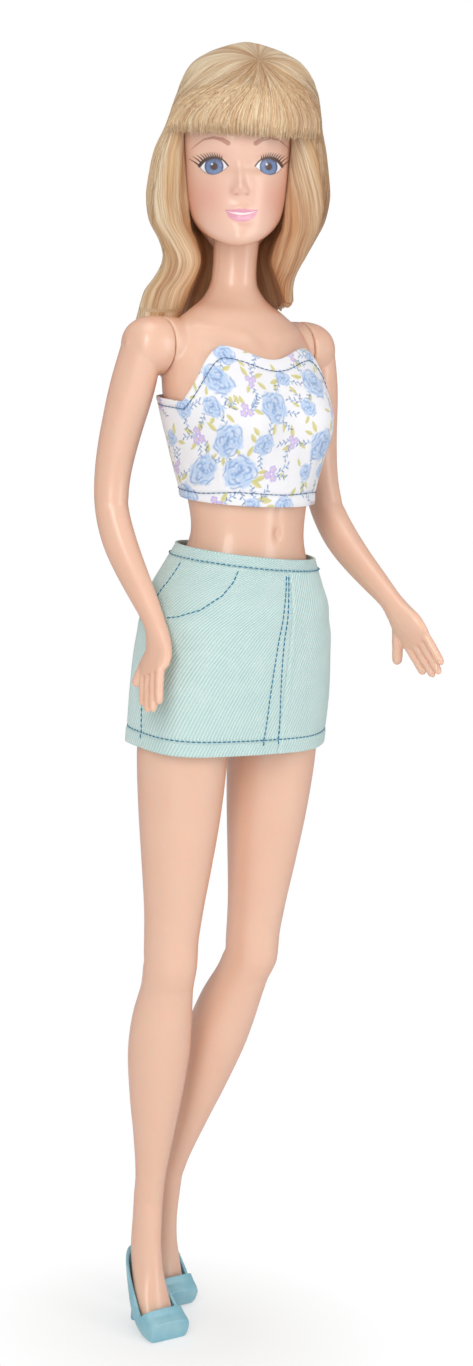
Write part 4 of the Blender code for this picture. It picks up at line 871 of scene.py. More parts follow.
def torso():
    heights = np.linspace(CROTCH_HEIGHT, NECK_TOP_HEIGHT, 240)[:, None]
    body = tube_mesh("torso_body", torso_point(circle(220)[None, :], heights))
    bar_x = np.array((-1.0, -0.98, -0.55, 0.55, 0.98, 1.0)) * SHOULDER_HALF_SPAN
    bar_r = np.array((0.97, 1.0, 0.93, 0.93, 1.0, 0.97))[:, None] * SHOULDER_RADIUS
    around = circle(72)
    bar = tube_mesh("torso_bar", stack(
        bar_x[:, None],
        SHOULDER_SET_BACK + bar_r * np.cos(around),
        SHOULDER_HEIGHT - WAIST_HEIGHT + bar_r * np.sin(around),
    ))
    made = joined("torso_skin", [body, bar])
    remesh(made, 0.42 * MM, 7)
    co, nor = coordinates(made), normals(made)
    x, y, z = co[:, 0], co[:, 1], co[:, 2] + WAIST_HEIGHT
    front = smoothstep(0.1, 0.5, -nor[:, 1])
    move = -0.75 * MM * bell(x, 0, 0.0010) * bell(z, NAVEL_HEIGHT, 0.0013) * front
    for side in (-1, 1):
        ridge = COLLAR_HEIGHT + np.abs(x) * 0.10
        along = smoothstep(0.002, 0.005, side * x) * (1 - smoothstep(0.012, 0.017, side * x))
        move += 0.28 * MM * bell(z, ridge, 0.0013) * along * front
        move -= 0.16 * MM * bell(z, ridge - 0.0026, 0.0014) * along * front
    move -= 0.30 * MM * bell(x, 0, 0.0020) * bell(z, THROAT_HEIGHT, 0.0018) * front
    middle_line = smoothstep(0.190, 0.197, z) * (1 - smoothstep(0.206, 0.212, z))
    move -= 0.18 * MM * bell(x, 0, 0.0011) * front * middle_line
    move -= 0.09 * MM * bell(y, seam_depth(z), 0.00022) * smoothstep(0.25, 0.6, np.abs(nor[:, 0]))
    set_coordinates(made, co + nor * move[:, None])
    wear(made, "skin")
    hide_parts("torso_front", "torso_back")
    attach(made, "torso")


# ---------------------------------------------------------------- limbs
def limb_loops(rows, sides, power=2.0):
    """Loops square to a path: each row is its centre, its half-width across and its half-depth."""
    centres = np.array([row[0] for row in rows], float)
    angles = TAU * np.arange(sides) / sides
    across = np.array((1.0, 0, 0))
    powers = np.broadcast_to(power, len(rows))
    loops = []
    for i, row in enumerate(rows):
        along = unit(centres[min(i + 1, len(rows) - 1)] - centres[max(i - 1, 0)])
        wide = unit(across - along * (across @ along))
        deep = np.cross(along, wide)
        cosine, sine = wave(angles, powers[i])
        loops.append(centres[i] + np.outer(cosine * row[1], wide) + np.outer(sine * row[2], deep))
    return np.array(loops)


def arm_corners(side):
    leans = (
        (math.tan(UPPER_ARM_TILT_OUT[side]), math.tan(UPPER_ARM_TILT_BACK)),
        (math.tan(FOREARM_TILT_OUT[side]), -math.tan(FOREARM_TILT_FORWARD)),
        (math.tan(HAND_TILT_OUT), -math.tan(HAND_TILT_FORWARD)),
    )
    corners = [np.array((side * ARM_CENTRE_OUT, 0.0, 0.0))]
    for length, (out, back) in zip((UPPER_ARM_LENGTH, FOREARM_LENGTH, PALM_LENGTH), leans):
        corners.append(corners[-1] + unit(np.array((side * out, back, -1.0))) * length)
    return corners


def arm_row(along, side):
    place = np.array(sample(numbered(arm_corners(side)), along))
    width, depth = sample(ARM_SHARES, along)
    return place, float(width) * UPPER_ARM_RADIUS, float(depth) * UPPER_ARM_RADIUS


def round_end(root, direction, length, radius, curl, bend):
    """A finger: its rows from root to a rounded tip, bent a little towards the palm."""
    rows = []
    for share in np.linspace(0, 1, 22):
        at = root + direction * (length * share) + curl * (bend * share**2)
        joint = 0.05 * bell(share, 0.45, 0.07) + 0.03 * bell(share, 0.74, 0.06)
        tip = math.sqrt(max(1 - max((share - 0.86) / 0.14, 0) ** 2, 0.02))
        taper = (1.0 - 0.16 * share + joint) * tip
        rows.append((at, radius * taper, radius * taper))
    return rows


def dome_mesh(x, radius):
    """A rounded cap about the left-right axis, from its flat face outward."""
    around = circle(64)
    return tube_mesh("dome", stack(x[:, None], radius[:, None] * np.cos(around), radius[:, None] * np.sin(around)))


def arm(side):
    label = LABELS[side]
    dome_x = np.concatenate([[0.0, 0.02], np.linspace(0.08, 0.999, 26)])
    dome_r = sample(SHOULDER_CAP_SHARES, dome_x)[0]
    dome_r = np.where(dome_x < 0.01, 0.972, np.maximum(dome_r, 0.02))
    parts = [dome_mesh(side * (GAP + dome_x * SHOULDER_CAP_WIDTH), dome_r * SHOULDER_RADIUS)]
    rows = [arm_row(a, side) for a in np.linspace(0, 3, 90)]
    parts.append(tube_mesh("length", limb_loops(rows, 48, power=2.2)))
    palm_end = arm_row(3.0, side)[0]
    along = unit(palm_end - arm_row(2.0, side)[0])
    wide = unit(np.array((1.0, 0, 0)) - along * along[0])
    deep = np.cross(along, wide)
    for i, share in enumerate(FINGER_LENGTH_SHARES):
        root = palm_end - along * FINGER_RADIUS * 2 + deep * (i - 1.5) * FINGER_SPACING
        rows = round_end(root, along, FINGER_LENGTH * share, FINGER_RADIUS, -side * wide, 0.0006)
        parts.append(tube_mesh(f"finger_{i}", limb_loops(rows, 20)))
    root = arm_row(2.25, side)[0] - deep * FINGER_SPACING
    rows = round_end(
        root, unit(along - deep * THUMB_SPREAD_SHARE), THUMB_LENGTH, THUMB_RADIUS, -side * wide, 0.0005
    )
    parts.append(tube_mesh("thumb", limb_loops(rows, 20)))
    made = joined(f"{label}_arm_skin", parts)
    remesh(made, 0.26 * MM, 4)
    co, nor = coordinates(made), normals(made)
    path = np.array([arm_row(a, side)[0] for a in np.linspace(0, 3, 60)])
    middle = np.interp(-co[:, 2], -path[:, 2], path[:, 1])
    move = 0.05 * MM * bell(co[:, 1], middle, 0.00022) * smoothstep(0.4, 0.8, np.abs(nor[:, 0]))
    elbow = arm_row(1.0, side)[0]
    move -= 0.22 * MM * bell(co[:, 2], elbow[2], 0.0011) * smoothstep(0.2, 0.8, -nor[:, 1])
    co = (co + nor * move[:, None]) @ rotation("X", -ARM_SWING[side]).T
    co += np.array((side * SHOULDER_HALF_SPAN, SHOULDER_SET_BACK, SHOULDER_HEIGHT - WAIST_HEIGHT))
    set_coordinates(made, co)
    wear(made, "skin")
    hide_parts(f"{label}_arm")
    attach(made, f"{label}_arm")


def knee_from_hip(side):
    drop = HIP_HEIGHT - KNEE_HEIGHT
    return np.array((-side * drop * math.tan(THIGH_TILT_IN), 0.0, -drop))


def hip_place(side):
    return np.array((side * HIP_OFFSET, HIP_SET_BACK, HIP_HEIGHT - WAIST_HEIGHT))


def thigh_row(share, side):
    width, depth, forward = sample(THIGH_SHARES, share)
    place = knee_from_hip(side) * share + np.array((0, -float(forward) * THIGH_RADIUS, 0))
    return place, float(width) * THIGH_RADIUS, float(depth) * THIGH_RADIUS


def shin_row(share, side):
    width, depth, back = sample(SHIN_SHARES, share)
    along = np.array((-side * math.sin(SHIN_TILT_IN), 0.0, -math.cos(SHIN_TILT_IN)))
    place = along * (SHIN_LENGTH * share) + np.array((0, float(back) * CALF_RADIUS, 0))
    return place, float(width) * CALF_RADIUS, float(depth) * CALF_RADIUS


def foot_place(forward, down):
    return np.array((0.0, -float(forward) * FOOT_REACH, -float(down) * FOOT_DROP))


def foot_rows(side):
    level = rotation("X", -SHIN_TILT_BACK[-1])
    ankle = shin_row(1.0, side)[0]
    rows = []
    curve = numbered(FOOT_SHARES)
    for at in np.linspace(0, len(curve) - 1, 44)[1:]:
        forward, down, width, depth = sample(curve, at)
        place = ankle + level @ foot_place(forward, down)
        rows.append((place, float(width) * FOOT_HALF_WIDTH, float(depth) * FOOT_HALF_DEPTH))
    return rows


def leg(side):
    label = LABELS[side]
    dome_x = np.linspace(0, 0.999, 26)
    dome_r = np.maximum(sample(HIP_DOME_SHARES, dome_x)[0], 0.03) * HIP_DOME_RADIUS
    dome = dome_mesh(side * (HIP_INNER_FACE - HIP_OFFSET + dome_x * HIP_DOME_WIDTH), dome_r)
    rows = [thigh_row(share, side) for share in np.linspace(THIGH_SHARES[0][0], 1.0, 70)]
    bend = rotation("X", SHIN_TILT_BACK[side])
    knee = knee_from_hip(side)
    lower = [shin_row(share, side) for share in np.linspace(0.0, 1.0, 70)[1:]] + foot_rows(side)
    rows += [(knee + bend @ place, width, depth) for place, width, depth in lower]
    made = joined(f"{label}_leg_skin", [dome, tube_mesh("length", limb_loops(rows, 72))])
    remesh(made, 0.40 * MM, 6)
    co, nor = coordinates(made), normals(made)
    level = co[:, 2] - knee[2]
    kneecap = bell(co[:, 0], knee[0], 0.0046) * smoothstep(0.25, 0.8, -nor[:, 1])
    move = 0.42 * MM * bell(level, 0.0006, 0.0040) * kneecap
    move -= 0.24 * MM * bell(level, -0.0058, 0.0016) * kneecap
    move -= 0.18 * MM * bell(level, 0.0066, 0.0020) * kneecap
    move -= 0.26 * MM * bell(level, 0.0008, 0.0014) * smoothstep(0.3, 0.85, nor[:, 1])
    set_coordinates(made, co + nor * move[:, None] + hip_place(side))
    wear(made, "skin")
    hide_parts(f"{label}_thigh", f"{label}_knee_skin", f"{label}_shin")
    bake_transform(made)


# ---------------------------------------------------------------- head
def head_to_frame(points):
    turned = points @ (rotation("Z", HEAD_TURN) @ rotation("Y", HEAD_TILT)).T
    return turned + np.array((0, TORSO_LEAN, CHIN_HEIGHT - WAIST_HEIGHT))


def finish_on_head(made, material):
    """Puts a mesh made in the head's frame in its place, in its material."""
    set_coordinates(made, head_to_frame(coordinates(made)))
    wear(made, material)
    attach(made, "head")


def head_point(angle, at, outward=0.0):
    """A point of the head's skin at an angle round it and a place along its rows, in the head's frame."""
    angle, at = np.broadcast_arrays(np.asarray(angle, float), np.asarray(at, float))
    front_height, side_height, back_height, half_width, front, back = sample(numbered(HEAD_SHARES), at)
    sine = np.sin(angle)
    end_height = np.where(sine < 0, front_height, back_height)
    top = len(HEAD_SHARES) - 1
    tilt = np.maximum(0.0, (at - HEAD_BROW_ROW) / (top - HEAD_BROW_ROW)) * math.pi / 2
    aside, upward = outward * np.cos(tilt), outward * np.sin(tilt)
    height = (end_height * sine**2 + side_height * (1 - sine**2)) * HEAD_HEIGHT
    x = (half_width * HEAD_HALF_WIDTH + aside) * np.cos(angle)
    y = (np.where(sine < 0, front, back) * HEAD_HALF_DEPTH + aside) * sine
    fade = smoothstep(0.0, 0.15, -sine)
    for side, level, depth, width, spread in FACE_SHARES:
        form = bell(x / HEAD_HALF_WIDTH, side, width) * bell(height / HEAD_HEIGHT, level, spread)
        y = y - fade * depth * HEAD_HALF_DEPTH * form
    return stack(x, y, height + upward)


def blot(colour, layer, cover):
    """One layer of paint over another: `cover` is how much of it shows at each point."""
    return colour * (1 - cover[..., None]) + linear(layer) * cover[..., None]


def segment(x, z, a, b):
    """Distance from each point to a short line, and the share along it."""
    dx, dz = b[0] - a[0], b[1] - a[1]
    t = np.clip(((x - a[0]) * dx + (z - a[1]) * dz) / (dx * dx + dz * dz), 0, 1)
    return np.hypot(x - a[0] - t * dx, z - a[1] - t * dz), t


def stroke(x, z, points, widths):
    """How much a tapering brush stroke through points covers each point, in millimetres."""
    cover = np.zeros_like(x)
    for (a, b), (wa, wb) in zip(zip(points, points[1:]), zip(widths, widths[1:])):
        distance, t = segment(x, z, a, b)
        width = wa + (wb - wa) * t
        cover = np.maximum(cover, 1 - smoothstep(width - 0.07, width + 0.07, distance))
    return cover


# The face's paint, in millimetres across and up from the chin
FACE_SHIFT = 0.65
EYE_OUT = 6.0
EYE_UP = 17.1
LID_SHARES = (
    (-1.0, 0.0, 0.0),
    (-0.7, 0.62, 0.42),
    (-0.3, 0.97, 0.86),
    (0.1, 1.0, 1.0),
    (0.5, 0.80, 0.80),
    (0.8, 0.44, 0.46),
    (1.0, 0.0, 0.0),
)
EYE_HALF = 3.05
LID_UP = 1.75
LID_DOWN = 1.70
LOWER_LID_DROP = 0.15
IRIS_REACH = 2.05
NOSTRIL_UP = 11.05
CHIN_FOLD_UP = 4.6
MOUTH_HALF = 3.55
BROW_LINE = ((3.0, 21.9), (4.3, 22.7), (6.2, 23.1), (8.2, 22.7), (10.1, 21.3), (11.0, 20.4))
BROW_WIDTHS = (0.50, 0.44, 0.28, 0.18, 0.12, 0.0)


def upper_lid(share, rise):
    return EYE_OUT + EYE_HALF * share, EYE_UP + rise * LID_UP


def lower_lid(share, drop):
    return EYE_OUT + EYE_HALF * share, EYE_UP - LOWER_LID_DROP - drop * LID_DOWN


def paint_iris(colour, x, z, side, inside):
    """Rings and spokes of blue, a dark rim and pupil, and one highlight."""
    radius = np.hypot(x, z) / IRIS_REACH
    around = np.arctan2(z, x)
    spokes = 0.5 + 0.5 * np.sin(around * 23 + 3 * np.sin(around * 5))
    in_iris = (1 - smoothstep(0.95, 1.01, radius)) * inside
    colour = blot(colour, IRIS_COLOUR, in_iris)
    ring = smoothstep(0.34, 0.58, radius) * (1 - smoothstep(0.68, 0.90, radius))
    colour = blot(colour, IRIS_LIGHT, in_iris * (0.35 + 0.65 * spokes) * ring * 0.75)
    colour = blot(colour, IRIS_LIGHT, in_iris * bell(z, -0.95, 0.5) * 0.40)
    colour = blot(colour, IRIS_RIM, in_iris * smoothstep(0.80, 1.0, radius) * 0.9)
    colour = blot(colour, IRIS_RIM, in_iris * smoothstep(0.4, 1.7, z) * 0.55)
    colour = blot(colour, PUPIL_COLOUR, (1 - smoothstep(0.33, 0.41, radius)) * inside)
    shine = 1 - smoothstep(0.16, 0.30, np.hypot(x * side + 0.45, z - 0.50))
    return blot(colour, EYE_SHINE, shine * inside * 0.95)


def paint_eye(colour, x, z, side):
    """An eye as it is painted on a doll: white, iris in rings, pupil, lid lines and fanned lashes."""
    out = x * side
    across = out - EYE_OUT
    share = across / EYE_HALF
    up, down = sample(LID_SHARES, np.clip(share, -1, 1))
    shadow = bell(across, -0.1, 3.6) * bell(z, EYE_UP + 1.3, 2.6)
    colour = blot(colour, EYE_SHADOW_COLOUR, 0.30 * shadow)
    top, bottom = upper_lid(share, up)[1], lower_lid(share, down)[1]
    inside = smoothstep(-0.05, 0.06, top - z) * smoothstep(-0.05, 0.06, z - bottom) * (np.abs(share) < 1)
    colour = blot(colour, EYE_WHITE, inside)
    colour = paint_iris(colour, across + 0.05, z - EYE_UP + 0.12, side, inside)
    grid = np.linspace(-1, 1, 25)
    up, down = sample(LID_SHARES, grid)
    upper = [upper_lid(g, h) for g, h in zip(grid, up)]
    lower = [lower_lid(g, h) for g, h in zip(grid, down)]
    thick = 0.17 + 0.19 * smoothstep(-0.9, 0.8, grid)
    colour = blot(colour, LASH_COLOUR, stroke(out, z, upper, thick))
    colour = blot(colour, LOWER_LID_COLOUR, stroke(out, z, lower, np.full(25, 0.055)) * 0.8)
    inner = list(zip(grid, up))[2:-2]
    crease = [(EYE_OUT + EYE_HALF * g * 1.06, EYE_UP + 1.25 + h * LID_UP * 0.90) for g, h in inner]
    colour = blot(colour, LID_CREASE_COLOUR, stroke(out, z, crease, np.full(21, 0.10)) * 0.22)
    for g in np.linspace(-0.55, 1.0, 12):
        root = upper_lid(g, float(sample(LID_SHARES, g)[0]))
        outer = max(g + 0.2, 0)
        lean = 0.05 + 0.66 * (g + 0.45)
        length = 0.90 + 0.95 * outer + 0.12 * math.sin(g * 40)
        middle = (root[0] + lean * length * 0.45, root[1] + length * (0.50 - 0.12 * outer))
        tip = (root[0] + lean * length * 1.05, root[1] + length * (0.98 - 0.22 * outer))
        colour = blot(colour, LASH_COLOUR, stroke(out, z, (root, middle, tip), (0.17, 0.13, 0.04)))
    for g in np.linspace(0.1, 0.98, 8):
        root = lower_lid(g, float(sample(LID_SHARES, g)[1]))
        tip = (root[0] + 0.34 * (g + 0.2), root[1] - 0.42)
        colour = blot(colour, LASH_COLOUR, stroke(out, z, (root, tip), (0.06, 0.0)) * 0.55)
    return colour


def paint_lips(colour, x, z):
    """Pink lips parted in a smile, with one painted highlight and a line between them."""
    grid = np.linspace(-1, 1, 31)
    bow = 0.42 * (1 - grid**2) ** 0.7 + 0.20 * bell(np.abs(grid), 0.20, 0.14) - 0.10
    top = np.interp(x / MOUTH_HALF, grid, 7.55 + 0.25 * grid**2 + bow)
    middle = 7.60 - 0.45 * (1 - np.clip(x / MOUTH_HALF, -1, 1) ** 2)
    smile = 7.36 - 0.72 * (1 - np.clip(x / 2.9, -1, 1) ** 2)
    bottom = 7.45 - 2.25 * np.sqrt(np.clip(1 - (x / 3.35) ** 2, 0, 1))
    within = np.abs(x) < MOUTH_HALF
    lips = smoothstep(-0.08, 0.10, top - z) * smoothstep(-0.08, 0.10, z - bottom) * within
    colour = blot(colour, LIP_COLOUR, lips * 0.88)
    # painted highlight on the lower lip
    colour = blot(colour, LIP_HIGHLIGHT, bell(x, 0, 2.0) * bell(z, 5.95, 0.42) * lips * 0.85)
    teeth = smoothstep(-0.05, 0.08, middle - z) * smoothstep(-0.05, 0.10, z - smile) * (np.abs(x) < 3.1)
    colour = blot(colour, SMILE_COLOUR, teeth * 0.95)
    line = [(g * MOUTH_HALF, float(7.66 - 0.42 * (1 - g * g))) for g in grid]
    return blot(colour, LIP_LINE_COLOUR, stroke(x, z, line, np.full(31, 0.075)) * 0.65)


def paint_face(x, z):
    """The face's paint at points x across and z up, in millimetres, as linear colours."""
    x = x - FACE_SHIFT
    colour = np.ones(x.shape + (3,)) * linear(FACE_COLOUR)
    for side in (-1, 1):
        out = x * side
        colour = blot(colour, CHEEK_COLOUR, 0.42 * bell(out, 8.0, 4.0) * bell(z, 10.2, 3.8))
        hairs = 0.75 + 0.25 * np.sin((out - z * 1.6) * 9)
        colour = blot(colour, BROW_COLOUR, stroke(out, z, BROW_LINE, BROW_WIDTHS) * hairs * 0.82)
        colour = paint_eye(colour, x, z, side)
        # painted shade in the nostrils and beside the nose wings
        colour = blot(colour, NOSTRIL_SHADE_COLOUR, 0.60 * bell(out, 1.20, 0.46) * bell(z, NOSTRIL_UP, 0.26))
        colour = blot(colour, NOSE_WING_SHADE_COLOUR, 0.30 * bell(out, 2.1, 0.6) * bell(z, NOSTRIL_UP + 0.75, 0.9))
    colour = blot(colour, CHIN_SHADE_COLOUR, 0.30 * bell(x, 0, 2.4) * bell(z, CHIN_FOLD_UP, 0.5))
    return paint_lips(colour, x, z)


def head():
    turn = math.radians(82)
    front = np.linspace(-turn, turn, 430) + FRONT
    back = np.linspace(turn, TAU - turn, 90)[1:-1] + FRONT
    angles = np.concatenate([front, back])
    last = len(HEAD_SHARES) - 1
    rows = np.concatenate([np.linspace(0, 4, 60)[:-1], np.linspace(4, 9, 330)[:-1], np.linspace(9, last, 90)])
    outer = head_point(angles[None, :], rows[::-1][:, None])
    rim = NECK_RADIUS + HEAD_RIM_GAP
    rim_loop = stack(rim * np.cos(angles), rim * np.sin(angles), outer[-1, :, 2])
    inner = head_point(angles[None, :], np.linspace(4, last - 1, 24)[:, None], -HEAD_WALL)
    loops = np.concatenate([outer, rim_loop[None], inner])
    made = tube_mesh("head_skin", loops)
    x, z = loops[..., 0] / MM, loops[..., 2] / MM
    facing = (np.sin(angles)[None, :] < -0.05) * (np.arange(len(loops)) < len(outer))[:, None]
    colour = np.where(facing[..., None], paint_face(x, z), linear(FACE_COLOUR))
    paint(made, "face_paint", blot(colour, SKIN_COLOUR, (1 - smoothstep(0.5, 4.0, z)) * 0.35))
    finish_on_head(made, "face")
    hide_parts("head_shell")


# ---------------------------------------------------------------- hair
HAIR_TOP = HAIR_SHARES[-1][0]


def from_front(angle):
    """Degrees from the middle of the face, to either side."""
    return np.degrees(np.abs((angle - FRONT + math.pi) % TAU - math.pi))


def hair_tip(angle):
    """The height share where the tips end: lower towards the doll's right shoulder."""
    across = np.clip((((angle - FRONT) % TAU) - math.radians(108)) / math.radians(144), 0, 1)
    return -(LEFT_HANG_DROP + (RIGHT_HANG_DROP - LEFT_HANG_DROP) * across) / HEAD_HEIGHT


def hair_edge(angle):
    """The height share where the mass of hair ends at an angle: high over the face, then receding."""
    low = np.interp(from_front(angle), *np.array(HAIR_EDGE_SHARES).T)
    return np.maximum(low, hair_tip(angle))


def hair_point(angle, level, outward=0.0):
    """A point on the outer face of the hair, or outward of it, in the head's frame."""
    angle, level = np.broadcast_arrays(np.asarray(angle, float), np.asarray(level, float))
    centre, half_width, front, back = sample(HAIR_SHARES, level)
    sine = np.sin(angle)
    depth = np.where(sine < 0, front, back) * HEAD_HALF_DEPTH
    tilt = np.clip((level - 0.70) / (HAIR_TOP - 0.70), 0, 1) * math.pi / 2
    aside, upward = outward * np.cos(tilt), outward * np.sin(tilt)
    x = centre * HEAD_HALF_WIDTH + (half_width * HEAD_HALF_WIDTH + aside) * np.cos(angle)
    return stack(x, (depth + aside) * sine, level * HEAD_HEIGHT + upward)


def hair_toward(turn, level, outward=0.0):
    """A point on the hair in a direction from the rooted patch, which fades to the middle lower down."""
    turn, level = np.broadcast_arrays(np.asarray(turn, float), np.asarray(level, float))
    centre, half_width, front, back = sample(HAIR_SHARES, level)
    share = smoothstep(0.66, 0.96, level)
    start_x = ROOT_PLACE[0] * share - centre * HEAD_HALF_WIDTH
    start_y = ROOT_PLACE[1] * share
    wide = half_width * HEAD_HALF_WIDTH
    cosine, sine = np.cos(turn), np.sin(turn)
    depth = np.where(sine < 0, front, back) * HEAD_HALF_DEPTH
    for _ in range(3):
        a = (cosine / wide) ** 2 + (sine / depth) ** 2
        b = start_x * cosine / wide**2 + start_y * sine / depth**2
        c = (start_x / wide) ** 2 + (start_y / depth) ** 2 - 1
        t = (-b + np.sqrt(np.maximum(b * b - a * c, 0))) / a
        y = start_y + t * sine
        depth = np.where(y < 0, front, back) * HEAD_HALF_DEPTH
    angle = np.arctan2(y / depth, (start_x + t * cosine) / wide)
    return hair_point(angle, level, outward)


def rooted(points):
    """Millimetres across and along the flow of the hair, which fans out from the rooted patch."""
    x, y, z = points[..., 0], points[..., 1], points[..., 2]
    level = z / HEAD_HEIGHT
    share = smoothstep(0.66, 0.96, level)
    turn = np.arctan2(y - ROOT_PLACE[1] * share, x - ROOT_PLACE[0] * share)
    reach = np.hypot(x - ROOT_PLACE[0], y - ROOT_PLACE[1]) * (1 - smoothstep(0.02, 0.045, 0.044 - z) * 0.8)
    return np.stack([turn * 15, (0.044 - z + reach) / MM], axis=-1)


def root_shade(points):
    """Browner at the rooted patch and in patches on the doll's left side and at the crown, with painted shade on
    the hair below the jaw.
    """
    x, y, z = points[..., 0], points[..., 1], points[..., 2]
    near = bell(x, ROOT_PLACE[0], 0.0046) * bell(y, ROOT_PLACE[1] - 0.0008, 0.0046) * smoothstep(0.028, 0.036, z)
    streaks = 0.75 + 0.25 * np.sin(np.arctan2(y - ROOT_PLACE[1], x - ROOT_PLACE[0]) * 19)
    cover = (near * streaks)[..., None] * 0.95
    shade = 1 - cover + np.array((0.60, 0.45, 0.32)) * cover
    around = from_front(np.arctan2(y, x))
    left = bell(around, 74, 17) * bell(z, 0.006, 0.015) * (x > 0) * 0.8
    # painted shade on the hair below the jaw
    low = smoothstep(0.004, -0.010, z) * np.where(x > 0, 0.6, bell(around, 62, 12) * 0.8)
    crown = bell(x, 0.0145, 0.004) * bell(z, 0.030, 0.006) * (y < 0) * 0.5
    cover = np.clip(left + low + crown, 0, 1)[..., None] * 0.85
    return shade * (1 - cover) + shade * np.array((0.70, 0.52, 0.42)) * cover


def groove(lateral, seed, pitch):
    """Fine combed grooves across the flow, from -1 to 1."""
    random = np.random.default_rng(seed)
    total = 0
    for k in (1.0, 1.7, 2.9, 4.3):
        total = total + np.sin(lateral * TAU / pitch * k + random.uniform(0, TAU)) / k
    return total / 2.2


def strands(name, paths, radii, shades):
    """Many fine tapering tubes in one mesh. paths is strands x points x 3, in the head's frame."""
    count, length = paths.shape[:2]
    sides = 4
    along = unit(np.gradient(paths, axis=1))
    side = unit(np.cross(along, unit(paths * np.array((1, 1, 0.2)))))
    up = np.cross(side, along)
    taper = np.sin(np.linspace(0.12, math.pi - 0.12, length)) ** 0.35
    r = radii[:, None, None] * taper[None, :, None]
    ring = [paths + side * (r * math.cos(a) * 1.25) + up * (r * math.sin(a) * 0.8) for a in circle(sides)]
    points = np.stack(ring, axis=2)
    base = grid_faces(length, sides, False, True)
    first = np.arange(count)[:, None] * length * sides
    faces = (base[None] + first[:, None]).reshape(-1, 4)
    start_cap = first + np.array([[3, 2, 1, 0]])
    end_cap = first + (length - 1) * sides + np.array([[0, 1, 2, 3]])
    made = mesh_from(name, points, np.concatenate([faces, start_cap, end_cap]))
    lateral = np.arange(count)[:, None, None] * 3.7 + np.zeros((1, length, sides))
    travelled_mm = np.linspace(0, 30, length)[None, :, None] + np.zeros((count, 1, sides))
    flow(made, "strand", np.stack([lateral, travelled_mm], axis=-1))
    paint(made, "shade", shades[:, None, None, :] * root_shade(points))
    finish_on_head(made, "hair")


def strand_shades(count):
    light = rng.uniform(0.90, 1.08, count)
    warm = rng.uniform(-0.05, 0.03, count)
    return np.stack([light, light * (1 + warm * 0.6), light * (1 + warm * 1.6)], axis=-1)


def hair_columns():
    """Angles round the head, closer together where the front edges of the hair fall."""
    fine = [np.linspace(0, 54, 70)[:-1], np.linspace(54, 106, 150)[:-1], np.linspace(106, 180, 130)]
    fine = np.concatenate(fine)
    return np.radians(np.concatenate([fine, 360 - fine[-2:0:-1]])) + FRONT


def inner_hair(angle, level):
    """The inner face: close to the head above the jaw, and with room for the neck below it."""
    wide, back = sample(HAIR_ROOM, level)
    cosine, sine = np.cos(angle), np.sin(angle)
    free = stack(wide * MM * cosine, np.where(sine < 0, wide, back) * MM * sine, level * HEAD_HEIGHT)
    outer = hair_point(angle, level)
    close = hair_point(angle, level, -0.0016)
    head_wide, head_deep = sample(HEAD_WIDTHS, level)
    reach = np.hypot(outer[..., 0] / head_wide, outer[..., 1] / head_deep)
    on_head = outer / reach[..., None]
    on_head[..., 2] = level * HEAD_HEIGHT
    far = np.hypot(on_head[..., 0], on_head[..., 1])
    near = np.minimum(far, np.hypot(close[..., 0], close[..., 1]))
    on_head[..., :2] *= (near / far)[..., None]
    share = smoothstep(0.06, 0.26, level)[..., None]
    return free * (1 - share) + on_head * share


# The head's half-width and half-depth at a height share, a little within its skin
ROOTED = 0.985
HEAD_WIDTHS = tuple(
    (
        height,
        half_width * HEAD_HALF_WIDTH * ROOTED,
        (back if height < 0.7 else max(front, back)) * HEAD_HALF_DEPTH * ROOTED,
    )
    for _, height, _, half_width, front, back in HEAD_SHARES[3:]
)


def main_hair():
    """One continuous mass from the crown to the tips, with rounded front edges."""
    angles = hair_columns()[None, :]
    rows = 120
    rise = np.sin(np.linspace(0, 1, rows)[:, None] * math.pi / 2)
    low = hair_edge(angles) + 0.020 * groove(angles * 15, 14, 1.6) * smoothstep(86, 94, from_front(angles))
    level = low + (HAIR_TOP - low) * rise
    base = rooted(hair_point(angles, level))
    across, along = base[..., 0], base[..., 1]
    comb = groove(across, 3, 0.9) * 0.09 * MM + groove(across + along * 0.05, 4, 4.4) * 0.13 * MM
    lower = smoothstep(0.35, -0.30, level)
    comb = comb + groove(across + along * 0.10, 13, 7.5) * 0.45 * MM * lower
    outer = hair_point(angles, level, comb * (1 - smoothstep(0.95, 1.06, level)))
    inner = inner_hair(angles, low + (0.90 - low) * rise)
    middle = (outer[0] + inner[0]) / 2
    half = outer[0] - middle
    bulge = np.cross(np.roll(outer[0], -3, axis=0) - np.roll(outer[0], 3, axis=0), half)
    bulge = unit(sum(np.roll(bulge, k, axis=0) for k in range(-9, 10)))
    swell = np.minimum(np.linalg.norm(half, axis=1, keepdims=True) * 0.9, 0.0026)
    turns = np.linspace(0, math.pi, 17)[1:-1]
    edge = np.array([middle + half * math.cos(t) + bulge * swell * math.sin(t) for t in turns])
    loops = np.concatenate([outer[::-1], edge, inner])
    made = tube_mesh("hair_mass", loops)
    grain = rooted(loops)
    turned = np.concatenate([outer[:1], edge, inner[:1]])
    inward = np.cumsum(np.linalg.norm(np.diff(turned, axis=0), axis=2), axis=0) / MM
    grain[rows:rows + len(edge), :, 0] = across[0] + inward[:-1]
    grain[rows + len(edge):, :, 0] = across[0] + inward[-1]
    grain[rows:, :, 1] = (0.044 - loops[rows:, :, 2]) / MM
    flow(made, "strand", grain)
    # painted shade: darker and warmer towards the hair's inner face, more so low down
    deep = np.concatenate([np.zeros(rows), np.linspace(0, 1, len(edge)) ** 1.5, np.ones(rows)])[:, None, None]
    deep = deep * (0.15 + 0.85 * smoothstep(0.34, 0.05, loops[..., 2:] / HEAD_HEIGHT))
    shade = root_shade(loops)
    paint(made, "shade", shade * (1 - deep) + shade * np.array((0.95, 0.74, 0.58)) * deep)
    finish_on_head(made, "hair")
    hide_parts("hair_crown", "hair_left_lock", "hair_back", "hair_right_lock")


def scattered(spread, count):
    """One random number for each strand, in a column."""
    return rng.normal(0, spread, count)[:, None]


